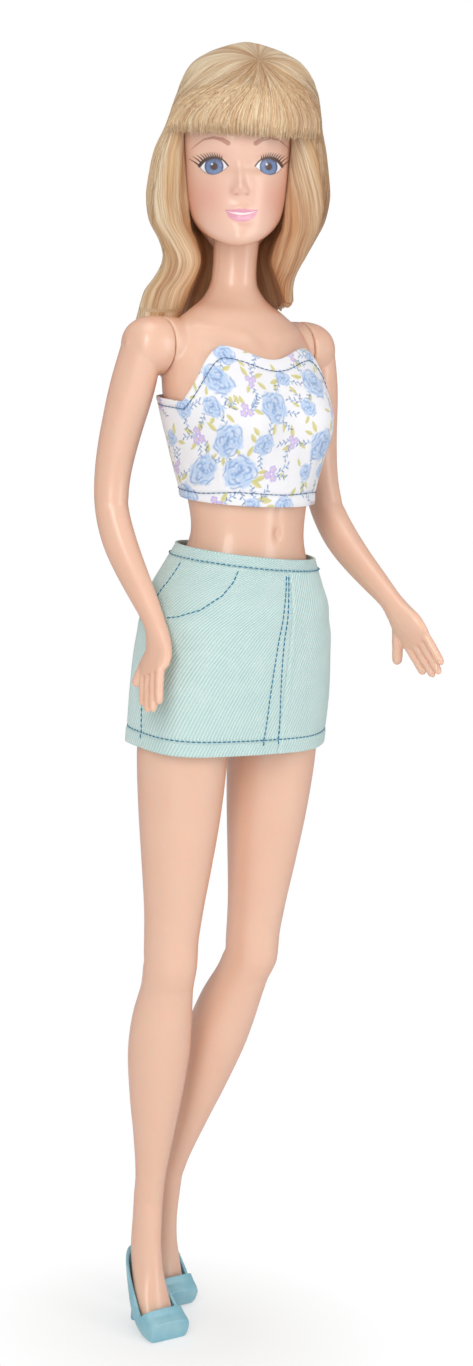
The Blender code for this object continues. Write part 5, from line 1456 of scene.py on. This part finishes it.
def loose_strands():
    """Fine strands that lie on the mass, from the crown to the tips."""
    count, length = 2600, 30
    turn = rng.uniform(0, TAU, count)
    begin = rng.uniform(0.35, FRINGE_START_SHARE, count)
    t = np.linspace(0, 1, length)[None, :]
    angle = turn[:, None] + scattered(0.030, count) * t + scattered(0.018, count) * np.sin(t * 4)
    finish = hair_edge(turn + 0.02 * np.sign(np.cos(turn))) + rng.uniform(-0.01, 0.10, count)
    finish = np.minimum(finish, begin - 0.12)
    level = begin[:, None] + (finish - begin)[:, None] * t
    lift = rng.uniform(-0.04, 0.10, count)[:, None] * MM
    paths = hair_toward(angle, level, lift)
    on_hair = hair_edge(np.arctan2(paths[..., 1], paths[..., 0])) < level + 0.03
    paths = paths[on_hair.mean(axis=1) > 0.97]
    strands("hair_strands", paths, rng.uniform(0.035, 0.065, len(paths)) * MM, strand_shades(len(paths)))


def edge_strands():
    """Strands along the front edges of the hair, which soften them, and a few stray ones."""
    count, length = 420, 40
    side = np.where(np.arange(count) % 2 == 0, 1, -1)
    t = np.linspace(0, 1, length)[None, :]
    offset = rng.exponential(2.2, count)[:, None] * (0.5 + 0.5 * t) - 0.4
    level = 0.70 - (0.70 + 0.36) * t * rng.uniform(0.75, 1.0, count)[:, None]
    table = np.array(HAIR_EDGE_SHARES[1:-1])
    edge = np.interp(-level, -table[:, 1], table[:, 0])
    wander = scattered(0.7, count) * np.sin(t * 5 + rng.uniform(0, TAU, count)[:, None])
    angle = np.radians(edge + offset + wander) * side[:, None] + FRONT
    level = np.maximum(level, hair_tip(angle))
    lift = (rng.uniform(-0.25, 0.15, count)[:, None] - 0.5 * np.exp(-offset)) * MM
    paths = hair_point(angle, level, lift)
    strands("hair_edge_strands", paths, rng.uniform(0.035, 0.070, count) * MM, strand_shades(count))


FRINGE_REACH = math.radians(79)


def fringe_low(angle):
    return FRINGE_EDGE_SHARE - FRINGE_SLOPE_SHARE * np.cos(angle)


def fringe_lift(level, angle):
    """The fringe lies on the mass, fades in at the crown and at its two ends, and falls over the forehead."""
    ends = smoothstep(79.5, 66.0, from_front(angle))
    ragged = 0.030 * groove(angle * 15, 17, 1.3) + 0.012 * groove(angle * 15, 18, 0.4)
    start = smoothstep(FRINGE_START_SHARE - 0.01, 0.70, level + ragged)
    return (0.00110 * start * ends - 0.00035) * np.ones_like(level * angle)


def fringe_mass():
    angles = np.linspace(FRONT - FRINGE_REACH, FRONT + FRINGE_REACH, 420)[:, None]
    share = np.linspace(0, 1, 80)[None, :]
    low = fringe_low(angles) + (0.010 * groove(angles * 15, 8, 0.9) + 0.006 * groove(angles * 15, 9, 3.1))
    level = FRINGE_START_SHARE + (low - FRINGE_START_SHARE) * share
    base = hair_toward(angles, level)
    surface_angle = np.arctan2(base[..., 1], base[..., 0])
    comb = groove(angles * 15, 5, 0.8) * 0.05 + groove(angles * 15, 6, 3.0) * 0.10
    comb = comb * MM * smoothstep(0.0, 0.35, share) - 0.0004 * smoothstep(0.85, 1.0, share)
    outer = hair_toward(angles, level, fringe_lift(level, surface_angle) + comb)
    front = smoothstep(70.0, 60.0, from_front(surface_angle)) * smoothstep(0.76, 0.73, level)
    inner = hair_toward(angles, level, -0.0002 - 0.0013 * front)
    made = sheet_mesh("hair_fringe_mass", outer, inner)
    both = rooted(outer)
    flow(made, "strand", np.concatenate([both, both[:, ::-1]], axis=1))
    shade = root_shade(outer)
    # painted shade on the fringe's underside, at 0.6 of its top's brightness
    paint(made, "shade", np.concatenate([shade, shade[:, ::-1] * 0.6], axis=1))
    finish_on_head(made, "hair")
    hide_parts("hair_fringe")


def fringe_strands():
    count, length = 1500, 20
    a = rng.uniform(FRONT - FRINGE_REACH, FRONT + FRINGE_REACH, count)
    t = np.linspace(0, 1, length)[None, :]
    turned = a[:, None] + scattered(0.014, count) * t
    finish = fringe_low(a) + rng.normal(-0.002, 0.012, count)
    begin = rng.uniform(0.80, FRINGE_START_SHARE, count)
    level = begin[:, None] + (finish - begin)[:, None] * t
    where = hair_toward(turned, level)
    lift = fringe_lift(level, np.arctan2(where[..., 1], where[..., 0]))
    lift = lift - 0.0004 * smoothstep(0.85, 1.0, t) + rng.uniform(-0.05, 0.08, count)[:, None] * MM
    paths = hair_toward(turned, level, lift)
    radii = rng.uniform(0.035, 0.060, count) * MM
    strands("hair_fringe_strands", paths, radii, strand_shades(count) * 1.12)


def hair():
    main_hair()
    loose_strands()
    edge_strands()
    fringe_mass()
    fringe_strands()


# ---------------------------------------------------------------- clothes
OVERLAP = FASTENER_WIDTH / HIP_HALF_DEPTH
LAP_START = math.pi / 2 - OVERLAP / 2
LAP_END = LAP_START + TAU + OVERLAP
CLOTH_OUT = CLOTH_CLEARANCE + CLOTH_THICKNESS
BAND_SHARE = WAISTBAND_DEPTH / SKIRT_LENGTH
HEM_STITCH_SHARE = 0.925


def lap_lift(angle):
    over = np.clip((angle - LAP_START - TAU) / (OVERLAP * LAP_RISE_SHARE) + 1, 0, 1)
    return (CLOTH_THICKNESS + 2 * FASTENER_THICKNESS + 3 * GAP) * over * over * (3 - 2 * over)


def top_edge_height(angle):
    x = np.abs(np.cos(angle) * HIP_HALF_WIDTH)
    across = np.clip(x / TOP_PEAK_SPREAD, 0, 1)
    rise = 0.5 - 0.5 * np.cos(math.pi * across)
    peak = TOP_DIP_HEIGHT + (TOP_PEAK_HEIGHT - TOP_DIP_HEIGHT) * rise
    fall = np.clip((x - TOP_PEAK_SPREAD) / (HIP_HALF_WIDTH * 0.97 - TOP_PEAK_SPREAD), 0, 1)
    outer = TOP_PEAK_HEIGHT + (TOP_SIDE_HEIGHT - TOP_PEAK_HEIGHT) * fall**1.7
    return np.where(np.sin(angle) > 0, TOP_SIDE_HEIGHT, np.where(x < TOP_PEAK_SPREAD, peak, outer))


def top_point(angle, share, outward):
    height = TOP_HEM_HEIGHT + (top_edge_height(angle) - TOP_HEM_HEIGHT) * share
    return torso_point(angle, height, outward + TOP_FLARE * (1 - share) ** 2)


def skirt_point(angle, share, outward):
    half_width, front, back, power, forward = sample(SKIRT_SHARES, share)
    cosine, sine = wave(angle, power)
    fold = SKIRT_FOLD_DEPTH * share**2 * np.cos(SKIRT_FOLDS * angle)
    depth = np.where(sine < 0, front, back) * SKIRT_HALF_DEPTH
    x = (half_width * SKIRT_HALF_WIDTH + outward + fold) * cosine
    y = (depth + outward + fold) * sine - forward * SKIRT_HALF_DEPTH
    height = WAISTBAND_TOP_HEIGHT - SKIRT_LENGTH * share - SKIRT_SLOPE * x * (1 - share)
    return stack(x, y, height - WAIST_HEIGHT)


def travelled(points, axis):
    """Length along a grid's rows or columns, in millimetres."""
    step = np.linalg.norm(np.diff(points, axis=axis), axis=2) / MM
    start = np.zeros_like(np.take(step, [0], axis=axis))
    return np.concatenate([start, np.cumsum(step, axis=axis)], axis=axis)


def cloth_piece(name, point, angles, shares, crease):
    """A thick sheet over a surface, with creases, and its path lengths along and up."""
    a, s = angles[:, None], shares[None, :]
    move = crease(a, s)
    lift = CLOTH_CLEARANCE + lap_lift(a)
    inner = point(a, s, lift + np.maximum(move, -0.0003))
    outer = point(a, s, lift + CLOTH_THICKNESS + move)
    made = sheet_mesh(name, outer, inner)
    along, up = travelled(outer, 0), travelled(outer, 1)
    both = np.stack([along, up], axis=-1)
    flow(made, "cloth", np.concatenate([both, both[:, ::-1]], axis=1))
    return made, outer, along, up


def turned_to(u, v, centre, turn):
    """Points seen from a motif: along its own direction, and across it."""
    x, y = u - centre[0], v - centre[1]
    return x * math.cos(turn) + y * math.sin(turn), -x * math.sin(turn) + y * math.cos(turn)


def rose(u, v, colour, centre, size, turn):
    """A loose rose: a pale ground with ruffled petal edges in short strokes."""
    x, y = turned_to(u, v, centre, turn)
    r, a = np.hypot(x, y) / size, np.arctan2(y, x)
    edge = 0.90 + 0.10 * np.sin(a * 5 + turn) + 0.05 * np.sin(a * 13)
    colour = blot(colour, ROSE_COLOURS[1], (1 - smoothstep(edge - 0.12, edge + 0.05, r)) * 0.80)
    for k in range(5):
        radius = 0.84 - 0.17 * k
        ruffle = 0.05 * np.sin(a * 7 + k * 2.1) + 0.04 * np.sin(a * 3 - k)
        arc = np.exp(-(((r - radius - ruffle) / (0.050 + 0.012 * k)) ** 2))
        broken = smoothstep(-0.25, 0.45, np.sin(a * (4 - k // 2) + k * 1.9 + turn))
        colour = blot(colour, ROSE_COLOURS[0 if k % 2 else 2], arc * broken * (0.75 if k % 2 else 0.6))
        wash = np.exp(-(((r - radius + 0.08) / 0.075) ** 2)) * (1 - broken)
        colour = blot(colour, ROSE_COLOURS[0], wash * 0.35)
    return blot(colour, ROSE_COLOURS[2], np.exp(-((r / 0.12) ** 2)) * 0.7)


def leaf(u, v, colour, centre, size, turn, fill, vein):
    """A pointed leaf with a vein and one half in a darker wash."""
    along, across = turned_to(u, v, centre, turn)
    along, across = along / size, across / (size * 0.40)
    width = np.clip(1 - along**2, 0, 1) ** 0.8 * (1 - 0.25 * along)
    inside = smoothstep(0.10, -0.10, np.abs(across) - width) * (np.abs(along) < 1)
    colour = blot(colour, fill, inside * 0.85)
    colour = blot(colour, vein, inside * smoothstep(0.0, 0.4, across) * 0.35)
    return blot(colour, vein, inside * np.exp(-((across / 0.16) ** 2)) * 0.55)


def cluster(u, v, colour, centre, size, turn):
    """Small lilac florets round a point, each of a few round petals with a yellow eye."""
    for k in range(3):
        a = turn + k * TAU / 3
        place = (centre[0] + size * 0.50 * math.cos(a), centre[1] + size * 0.62 * math.sin(a))
        x, y = turned_to(u, v, place, a)
        r, b = np.hypot(x, y) / (size * 0.55), np.arctan2(y, x)
        petal = 0.70 + 0.28 * np.abs(np.cos(b * 2.5))
        colour = blot(colour, LILAC_COLOURS[0], smoothstep(petal + 0.10, petal - 0.10, r) * 0.9)
        colour = blot(colour, LILAC_COLOURS[1], np.exp(-(((r - petal * 0.85) / 0.12) ** 2)) * 0.5)
        colour = blot(colour, FLORET_EYE_COLOUR, smoothstep(0.26, 0.14, r))
    return colour


def sprig(u, v, colour, centre, size, turn):
    """A thin curved stem with small drop-shaped leaves on both sides."""
    x, y = turned_to(u, v, centre, turn)
    bend = 0.16 * size * np.sin(x / size * 1.6)
    stem = np.exp(-(((y - bend) / 0.085) ** 2)) * smoothstep(size, size * 0.9, np.abs(x))
    colour = blot(colour, SPRIG_COLOUR, stem * 0.7)
    for k in range(6):
        t = -0.75 + 0.32 * k
        side = 1 if k % 2 else -1
        root = (t * size, 0.16 * size * math.sin(t * 1.6))
        tip = (root[0] + size * 0.30, root[1] + side * size * 0.34)
        drop = stroke(x, y, (root, ((root[0] + tip[0]) / 2, (root[1] + tip[1]) / 2), tip), (0.03, 0.19, 0.11))
        colour = blot(colour, SPRIG_COLOUR if k % 3 else ROSE_COLOURS[0], drop * 0.8)
    return colour


def motif(u, v, colour, centre, size, kind, turn):
    if kind == "rose":
        return rose(u, v, colour, centre, size, turn)
    if kind == "cluster":
        return cluster(u, v, colour, centre, size, turn)
    if kind == "sprig":
        return sprig(u, v, colour, centre, size, turn)
    return leaf(u, v, colour, centre, size, turn, *LEAF_COLOURS)


def print_layout(width, height):
    """A loose all-over layout: roses set apart, with sprigs, leaves and clusters between them."""
    random = np.random.default_rng(5)
    under, over = [], []
    cell = 8.4
    for row in range(-1, int(height / cell) + 3):
        for column in range(-1, int(width / cell) + 2):
            x = (column + 0.5 * (row % 2)) * cell + random.uniform(-0.9, 0.9)
            y = row * cell * 0.86 + random.uniform(-0.8, 0.8)
            is_rose = (row + 2 * column) % 3 != 0
            size = random.choice((2.2, 2.8, 4.3)) if is_rose else random.uniform(1.5, 2.0)
            for k in range(5):
                turn = random.uniform(0, TAU)
                reach = size + random.uniform(0.5, 1.5)
                place = (x + reach * math.cos(turn), y + reach * math.sin(turn))
                if k < 3:
                    under.append((place, random.uniform(1.0, 1.5), "leaf", turn + random.uniform(-0.5, 0.5)))
                else:
                    under.append((place, random.uniform(1.5, 2.1), "sprig", turn))
            over.append(((x, y), size, "rose" if is_rose else "cluster", random.uniform(0, TAU)))
    return under + over


def dashes(name, points, normals_at, length, pitch, radius, colour):
    """A line of stitches along a path on a cloth: short rounded threads with their middles raised."""
    points = np.asarray(points, float)
    travel = np.concatenate([[0], np.cumsum(np.linalg.norm(np.diff(points, axis=0), axis=1))])
    count = int(travel[-1] / pitch)
    rings, faces = [], []
    sides, segments = 6, 5
    for i in range(count):
        first = i * pitch
        at = np.linspace(first, first + length, segments)
        centre = np.stack([np.interp(at, travel, points[:, k]) for k in range(3)], axis=1)
        normal = np.stack([np.interp(at, travel, normals_at[:, k]) for k in range(3)], axis=1)
        normal /= np.linalg.norm(normal, axis=1, keepdims=True)
        along = centre[-1] - centre[0]
        along /= np.linalg.norm(along) + 1e-12
        side = np.cross(normal, along)
        arch = np.sin(np.linspace(0, math.pi, segments)) ** 0.6
        size = radius * (0.45 + 0.55 * arch)
        centre = centre + normal * (radius * (arch * 0.9 - 0.35))[:, None]
        start = i * sides * segments
        for k in range(segments):
            for j in range(sides):
                b = TAU * j / sides
                around = side[k] * math.cos(b) + normal[k] * math.sin(b)
                rings.append(centre[k] + around * size[k])
        faces.append(grid_faces(segments, sides, False, True, start))
        cap = np.array([[start + j for j in (0, 1, 2, 3)], [start + j for j in (0, 3, 4, 5)]])
        end = start + (segments - 1) * sides
        faces.append(cap[:, ::-1])
        faces.append(cap - start + end)
    made = mesh_from(name, rings, np.concatenate(faces))
    made.data.materials.append(MATERIALS[colour])
    return made


def surface_line(point, angles, shares, outward):
    """A path on a cloth's outer face and the cloth's outward direction along it."""
    angles, shares = np.broadcast_arrays(np.asarray(angles, float), np.asarray(shares, float))
    at = point(angles, shares, outward)
    step = 1e-3
    da = point(angles + step, shares, outward) - at
    ds = point(angles, np.clip(shares + step, None, 2), outward) - at
    normal = np.cross(da, ds)
    normal /= np.linalg.norm(normal, axis=-1, keepdims=True) + 1e-15
    outwards = at - point(angles, shares, outward - 1e-4)
    flip = np.sign(np.sum(normal * outwards, axis=-1, keepdims=True))
    return at, normal * flip


def crop_top():
    angles = np.linspace(LAP_START, LAP_END, 1000)
    shares = np.linspace(0, 1, 300)

    def crease(a, s):
        pull = np.exp(-((np.cos(a) - 0.5) / 0.5) ** 2) + np.exp(-((np.cos(a) + 0.5) / 0.5) ** 2)
        folds = ripple(a * 9, s * 4, 21) * 0.16 * MM * pull
        under = np.exp(-((s - 0.30) / 0.16) ** 2) * ripple(a * 16, s * 9, 22) * 0.20 * MM
        roll = 0.16 * MM * (np.exp(-((s - 0.025) / 0.03) ** 2) + np.exp(-((s - 0.975) / 0.03) ** 2))
        groove_low = -0.14 * MM * (np.exp(-((s - 0.085) / 0.012) ** 2) + np.exp(-((s - 0.925) / 0.012) ** 2))
        return folds + under + roll + groove_low

    made, outer, along, up = cloth_piece("crop_top_cloth", top_point, angles, shares, crease)
    colour = np.ones(along.shape + (3,)) * linear(TOP_WHITE)
    middle = int(np.argmin(np.abs(angles - 1.5 * math.pi)))
    across = along - along[middle] + along.max() / 2
    for centre, size, kind, turn in print_layout(along.max(), up.max()):
        near = np.hypot(across - centre[0], up - centre[1]) < size * 1.8
        if near.any():
            colour[near] = motif(across[near], up[near], colour[near], centre, size, kind, turn)
    inside = np.ones(colour.shape) * linear(TOP_WHITE)
    paint(made, "print", np.concatenate([colour, inside], axis=1))
    wear(made, "cotton")
    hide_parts("crop_top")
    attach(made, "torso")
    threads = []
    for share, label in ((0.085, "hem"), (0.925, "neck")):
        round_it = np.linspace(LAP_START + 0.3, LAP_START + TAU, 900)
        line, normal = surface_line(top_point, round_it, share, CLOTH_OUT)
        threads.append(dashes(f"top_{label}_stitches", line, normal, 1.10 * MM, 1.20 * MM, 0.10 * MM, "top_thread"))
    for thread in threads:
        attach(thread, "torso")


FRONT_SEAM = -math.pi / 2 + 0.07


# share along, angle, share down
POCKET_LINE = (
    (0.00, -2.215, 0.075),
    (0.15, -2.245, 0.130),
    (0.35, -2.334, 0.203),
    (0.60, -2.530, 0.282),
    (0.85, -2.800, 0.332),
    (1.00, -2.980, 0.350),
)


def skirt_crease(a, s):
    drape = ripple(a * 3.2, s * 1.5, 31) * 0.55 * MM * s**1.3
    pull = ripple(a * 7 + s * 3, s * 9, 32, 8) * 0.22 * MM * np.exp(-((s - 0.2) / 0.35) ** 2)
    hips = 0.25 * MM * np.sin(s * 26 + 3 * np.cos(a)) * bell(s, 0.30, 0.12) * (0.4 + 0.6 * np.abs(np.cos(a)))
    seam = -0.16 * MM * bell(a, FRONT_SEAM, 0.012) + 0.14 * MM * bell(a, FRONT_SEAM + 0.035, 0.025)
    for other in (math.pi, TAU, 0.0):
        seam = seam - 0.18 * MM * bell(a, other, 0.012)
    hem = 0.20 * MM * smoothstep(HEM_STITCH_SHARE, 0.94, s) - 0.18 * MM * bell(s, HEM_STITCH_SHARE, 0.008)
    return drape + pull + hips + seam + hem


def band_crease(angle, share):
    t = share / BAND_SHARE
    edge = 0.18 * MM * (bell(t, 0.04, 0.06) + bell(t, 0.96, 0.06))
    return edge + ripple(angle * 9, t * 2, 41) * 0.14 * MM - 0.10 * MM * bell(t, 0.84, 0.04)


def banded(angle, share, outward):
    return skirt_point(angle, share, outward + band_crease(angle, share))


def waistband():
    """The waistband, made with the skirt: a narrow band of twill round its top, with one line of stitches near its
    lower edge. The band is too narrow to be declared as a sheet by itself, so it goes with the skirt.
    """
    angles, shares = np.linspace(LAP_START, LAP_END, 600), np.linspace(0, BAND_SHARE, 40)
    made = cloth_piece("skirt_waistband_cloth", skirt_point, angles, shares, band_crease)[0]
    wear(made, "twill")
    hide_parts("skirt_waistband")
    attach(made, "torso")
    round_it = np.linspace(LAP_START + 0.3, LAP_START + TAU - 0.2, 700)
    line, normal = surface_line(banded, round_it, 0.93 * BAND_SHARE, CLOTH_OUT)
    thread = dashes("waistband_stitches_0", line, normal, 1.12 * MM, 1.22 * MM, 0.15 * MM, "teal")
    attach(thread, "torso")
    return [made, thread]


def whole_crease(angle, share):
    return skirt_crease((angle + math.pi) % TAU - math.pi, share)


def creased(angle, share, outward):
    return skirt_point(angle, share, outward + whole_crease(angle, share))


def seam_lines(label, low, high, middle, top):
    """The paths of one half's stitches: angles and shares down."""
    inner_low, inner_high = (low + 0.30, high) if label == "right" else (low, high - 0.55)
    t = np.linspace(0, 1, 200)
    hem = (np.linspace(inner_low, inner_high, 500), np.full(500, HEM_STITCH_SHARE))
    if label == "left":
        return [hem, (middle + 1.215 + 0.10 * t, 0.075 + 0.20 * t)]
    down = np.linspace(top + 0.02, 0.98, 200)
    bend = 0.030 * np.sin(t * math.pi * 1.5)
    pocket = np.array(POCKET_LINE).T
    return [
        hem,
        (middle - 0.035 - bend, down),
        (middle - 0.070 - 0.055 * t - bend, down),
        (np.interp(t, pocket[0], pocket[1]) + TAU, np.interp(t, pocket[0], pocket[2])),
        (math.pi + 0.06 - 0.24 * t**1.5, 0.08 + 0.24 * t),
        (np.full(200, math.pi - 0.02), 0.40 + 0.58 * t),
    ]


def skirt():
    top = BAND_SHARE + SEAM_SLIT / SKIRT_LENGTH
    middle = FRONT_SEAM + TAU
    band_pieces = waistband()
    for label, low, high in (("right", LAP_START, middle), ("left", middle, LAP_END)):
        angles, shares = np.linspace(low, high, 330), np.linspace(top, 1.0, 200)
        made, outer, along, up = cloth_piece(f"skirt_{label}_cloth", skirt_point, angles, shares, whole_crease)
        wear(made, "twill")
        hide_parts("skirt")
        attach(made, "torso")
        threads = []
        for i, (a, s) in enumerate(seam_lines(label, low, high, middle, top)):
            line, normal = surface_line(creased, a, s, CLOTH_OUT)
            name = f"skirt_{label}_stitches_{i}"
            threads.append(dashes(name, line, normal, 1.12 * MM, 1.22 * MM, 0.15 * MM, "teal"))
        for piece in [made] + threads:
            if piece is not made:
                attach(piece, "torso")
            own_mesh(piece)


# ---------------------------------------------------------------- shoes
def shoe_loops(grow, last, rows_count=60, sides=72):
    curve = numbered(SHOE_SHARES)
    rows, powers = [], []
    for at in np.linspace(0, last, rows_count):
        forward, down, width, depth, power = sample(curve, at)
        half_depth = float(depth) * FOOT_HALF_DEPTH + SHOE_SIDE_ROOM + grow
        rows.append((foot_place(forward, down), float(width) * SHOE_TOE_WIDTH + grow, half_depth))
        powers.append(float(power))
    return limb_loops(rows, sides, power=powers)


def cut(obj, other, operation):
    step = obj.modifiers.new("cut", "BOOLEAN")
    step.operation = operation
    step.object = other
    step.solver = "EXACT"
    apply_modifiers(obj)
    bpy.data.objects.remove(other, do_unlink=True)


def shoe(side):
    label = LABELS[side]
    sole = -ANKLE_HEIGHT
    last = len(SHOE_SHARES) - 1
    made = tube_mesh(f"{label}_shoe_shell", shoe_loops(SHOE_WALL, last))
    around = circle(48)
    t = np.linspace(0, 1, 24)
    radius = HEEL_TIP_RADIUS + (HEEL_SEAT_RADIUS - HEEL_TIP_RADIUS) * t**2.2
    level = sole - GAP * 2 + (-HEEL_SEAT_DROP - sole + GAP * 2) * t
    heel = tube_mesh("heel", stack(
        radius[:, None] * np.cos(around), HEEL_SET_BACK + radius[:, None] * np.sin(around), level[:, None]
    ))
    cut(made, heel, "UNION")
    cut(made, tube_mesh("hollow", shoe_loops(0.0, last - SHOE_TOE_ROWS)), "DIFFERENCE")
    wide = SHOE_TOE_WIDTH + OVERRUN
    counter = np.array((0, FOOT_HALF_DEPTH, -SHOE_BACK_DROP))
    vamp = np.array((0, -SHOE_VAMP_REACH, -SHOE_VAMP_DROP))
    slope = unit(counter - vamp)
    over = slope * OVERRUN * 2
    up = np.array((0, -slope[2], slope[1])) * SHOE_TOE_REACH
    corners = (vamp, counter + over, counter + over + up * 2, vamp + up * 2)
    mouth = [[p + np.array((x, 0, 0)) for p in corners] for x in (-wide, wide)]
    cut(made, tube_mesh("mouth", mouth), "DIFFERENCE")
    reach = SHOE_TOE_REACH + OVERRUN
    square = ((-wide, -reach), (wide, -reach), (wide, reach), (-wide, reach))
    floor = [[(*corner, z) for corner in square] for z in (sole - OVERRUN, sole)]
    cut(made, tube_mesh("floor_cut", floor), "DIFFERENCE")
    remesh(made, 0.17 * MM, 3)
    co = coordinates(made)
    co[:, 2] = np.maximum(co[:, 2], sole)
    level = rotation("X", -SHIN_TILT_BACK[-1])
    bend = rotation("X", SHIN_TILT_BACK[side])
    ankle = shin_row(1.0, side)[0]
    co = (co @ level.T + ankle) @ bend.T + knee_from_hip(side) + hip_place(side)
    set_coordinates(made, co)
    wear(made, "shoe")
    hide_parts(f"{label}_shoe")
    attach(made, f"{label}_shin")


# ---------------------------------------------------------------- frame nodes that stay
def dress_frame():
    tapes = {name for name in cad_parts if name.endswith("_strip")}
    kept = {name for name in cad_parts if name.endswith(("_peg", "_pin", "_core")) or name == "neck_knob"}
    for name in sorted(tapes | kept):
        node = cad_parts[name]
        node.data.materials.clear()
        node.data.materials.append(MATERIALS["tape" if name in tapes else "plastic"])


# ---------------------------------------------------------------- camera, floor and light
CAMERA_PLACE = Vector((-0.3694, -0.4728, 0.076))
CAMERA_TURN = math.radians(38)
CAMERA_PITCH = math.radians(10.3)
CAMERA_ROLL = math.radians(4.5)
CAMERA_LENS = 71.34


def camera():
    forward = Vector((
        math.sin(CAMERA_TURN) * math.cos(CAMERA_PITCH),
        math.cos(CAMERA_TURN) * math.cos(CAMERA_PITCH),
        -math.sin(CAMERA_PITCH),
    ))
    right = Vector((math.cos(CAMERA_TURN), -math.sin(CAMERA_TURN), 0))
    up = right.cross(forward)
    rolled_right = right * math.cos(CAMERA_ROLL) + up * math.sin(CAMERA_ROLL)
    rolled_up = up * math.cos(CAMERA_ROLL) - right * math.sin(CAMERA_ROLL)
    data = bpy.data.cameras.new("view")
    data.sensor_fit = "VERTICAL"
    data.sensor_height = 36
    data.lens = CAMERA_LENS
    data.clip_start = 0.01
    data.clip_end = 20
    made = bpy.data.objects.new("view", data)
    made.matrix_world = Matrix((
        (rolled_right.x, rolled_up.x, -forward.x, CAMERA_PLACE.x),
        (rolled_right.y, rolled_up.y, -forward.y, CAMERA_PLACE.y),
        (rolled_right.z, rolled_up.z, -forward.z, CAMERA_PLACE.z),
        (0, 0, 0, 1),
    ))
    bpy.context.scene.collection.objects.link(made)
    bpy.context.scene.camera = made


def lamp(name, place, target, size, power, colour=(1, 1, 1)):
    data = bpy.data.lights.new(name, "AREA")
    data.shape = "RECTANGLE"
    data.size, data.size_y = size
    data.energy = power
    data.color = colour
    made = bpy.data.objects.new(name, data)
    made.location = place
    made.rotation_euler = (Vector(target) - Vector(place)).to_track_quat("-Z", "Y").to_euler()
    bpy.context.scene.collection.objects.link(made)


def surroundings():
    bpy.context.scene.view_settings.view_transform = "Standard"
    world = bpy.data.worlds.new("studio")
    bpy.context.scene.world = world
    world.use_nodes = True
    tree = world.node_tree
    tree.nodes.clear()
    out = tree.nodes.new("ShaderNodeOutputWorld")
    plain, seen = tree.nodes.new("ShaderNodeBackground"), tree.nodes.new("ShaderNodeBackground")
    plain.inputs["Color"].default_value = (1, 0.99, 0.975, 1)
    plain.inputs["Strength"].default_value = 0.46
    seen.inputs["Strength"].default_value = 1.0
    seen.inputs["Color"].default_value = (1, 1, 1, 1)
    rays, mix = tree.nodes.new("ShaderNodeLightPath"), tree.nodes.new("ShaderNodeMixShader")
    tree.links.new(rays.outputs["Is Camera Ray"], mix.inputs[0])
    tree.links.new(plain.outputs[0], mix.inputs[1])
    tree.links.new(seen.outputs[0], mix.inputs[2])
    tree.links.new(mix.outputs[0], out.inputs["Surface"])
    sole = -WAIST_HEIGHT
    size = 1.2
    corners = [(-size, -size, sole), (size, -size, sole), (size, size, sole), (-size, size, sole)]
    floor = mesh_from("floor", corners, np.array([[0, 1, 2, 3]]))
    s = Shader("floor_white")
    cloud = s.noise(s.place(), 3.0, 2.0)
    pale = s.mix(cloud, (0.93, 0.93, 0.93, 1), (0.96, 0.96, 0.96, 1))
    s.finish(Base_Color=pale, Roughness=0.85, Specular_IOR_Level=0.1)
    away = s.tree.nodes.new("ShaderNodeVectorMath")
    away.operation = "LENGTH"
    s.feed(away, 0, s.scaled(s.place(), (1.0, 1.0, 0.0)))
    share = s.grey(away.outputs["Value"], 0.012, 0.048, 0.50, 1.0)
    seen = s.tree.nodes.new("ShaderNodeLightPath").outputs["Is Camera Ray"]
    white = s.node("ShaderNodeEmission", Color=(1, 1, 1, 1), Strength=1.0)
    mixed = s.node("ShaderNodeMixShader")
    s.feed(mixed, 0, s.maths("MULTIPLY", share, seen))
    s.feed(mixed, 1, s.surface.outputs[0])
    s.feed(mixed, 2, white.outputs[0])
    s.feed(s.tree.nodes["Material Output"], "Surface", mixed.outputs[0])
    floor.data.materials.append(s.material)
    lamp("key", (-0.80, -0.62, 0.42), (0, 0, 0.0), (0.34, 0.90), 5.9, (1, 0.985, 0.965))
    lamp("fill", (0.42, -0.90, 0.18), (0, 0, -0.02), (0.30, 0.90), 3.0, (0.99, 0.99, 1))
    lamp("top", (-0.10, -0.05, 0.85), (0, 0, 0.02), (0.5, 0.5), 1.8)


# ---------------------------------------------------------------- making
camera()
torso()
arm(-1)
arm(1)
leg(-1)
leg(1)
head()
hair()
crop_top()
skirt()
shoe(-1)
shoe(1)
dress_frame()
surroundings()
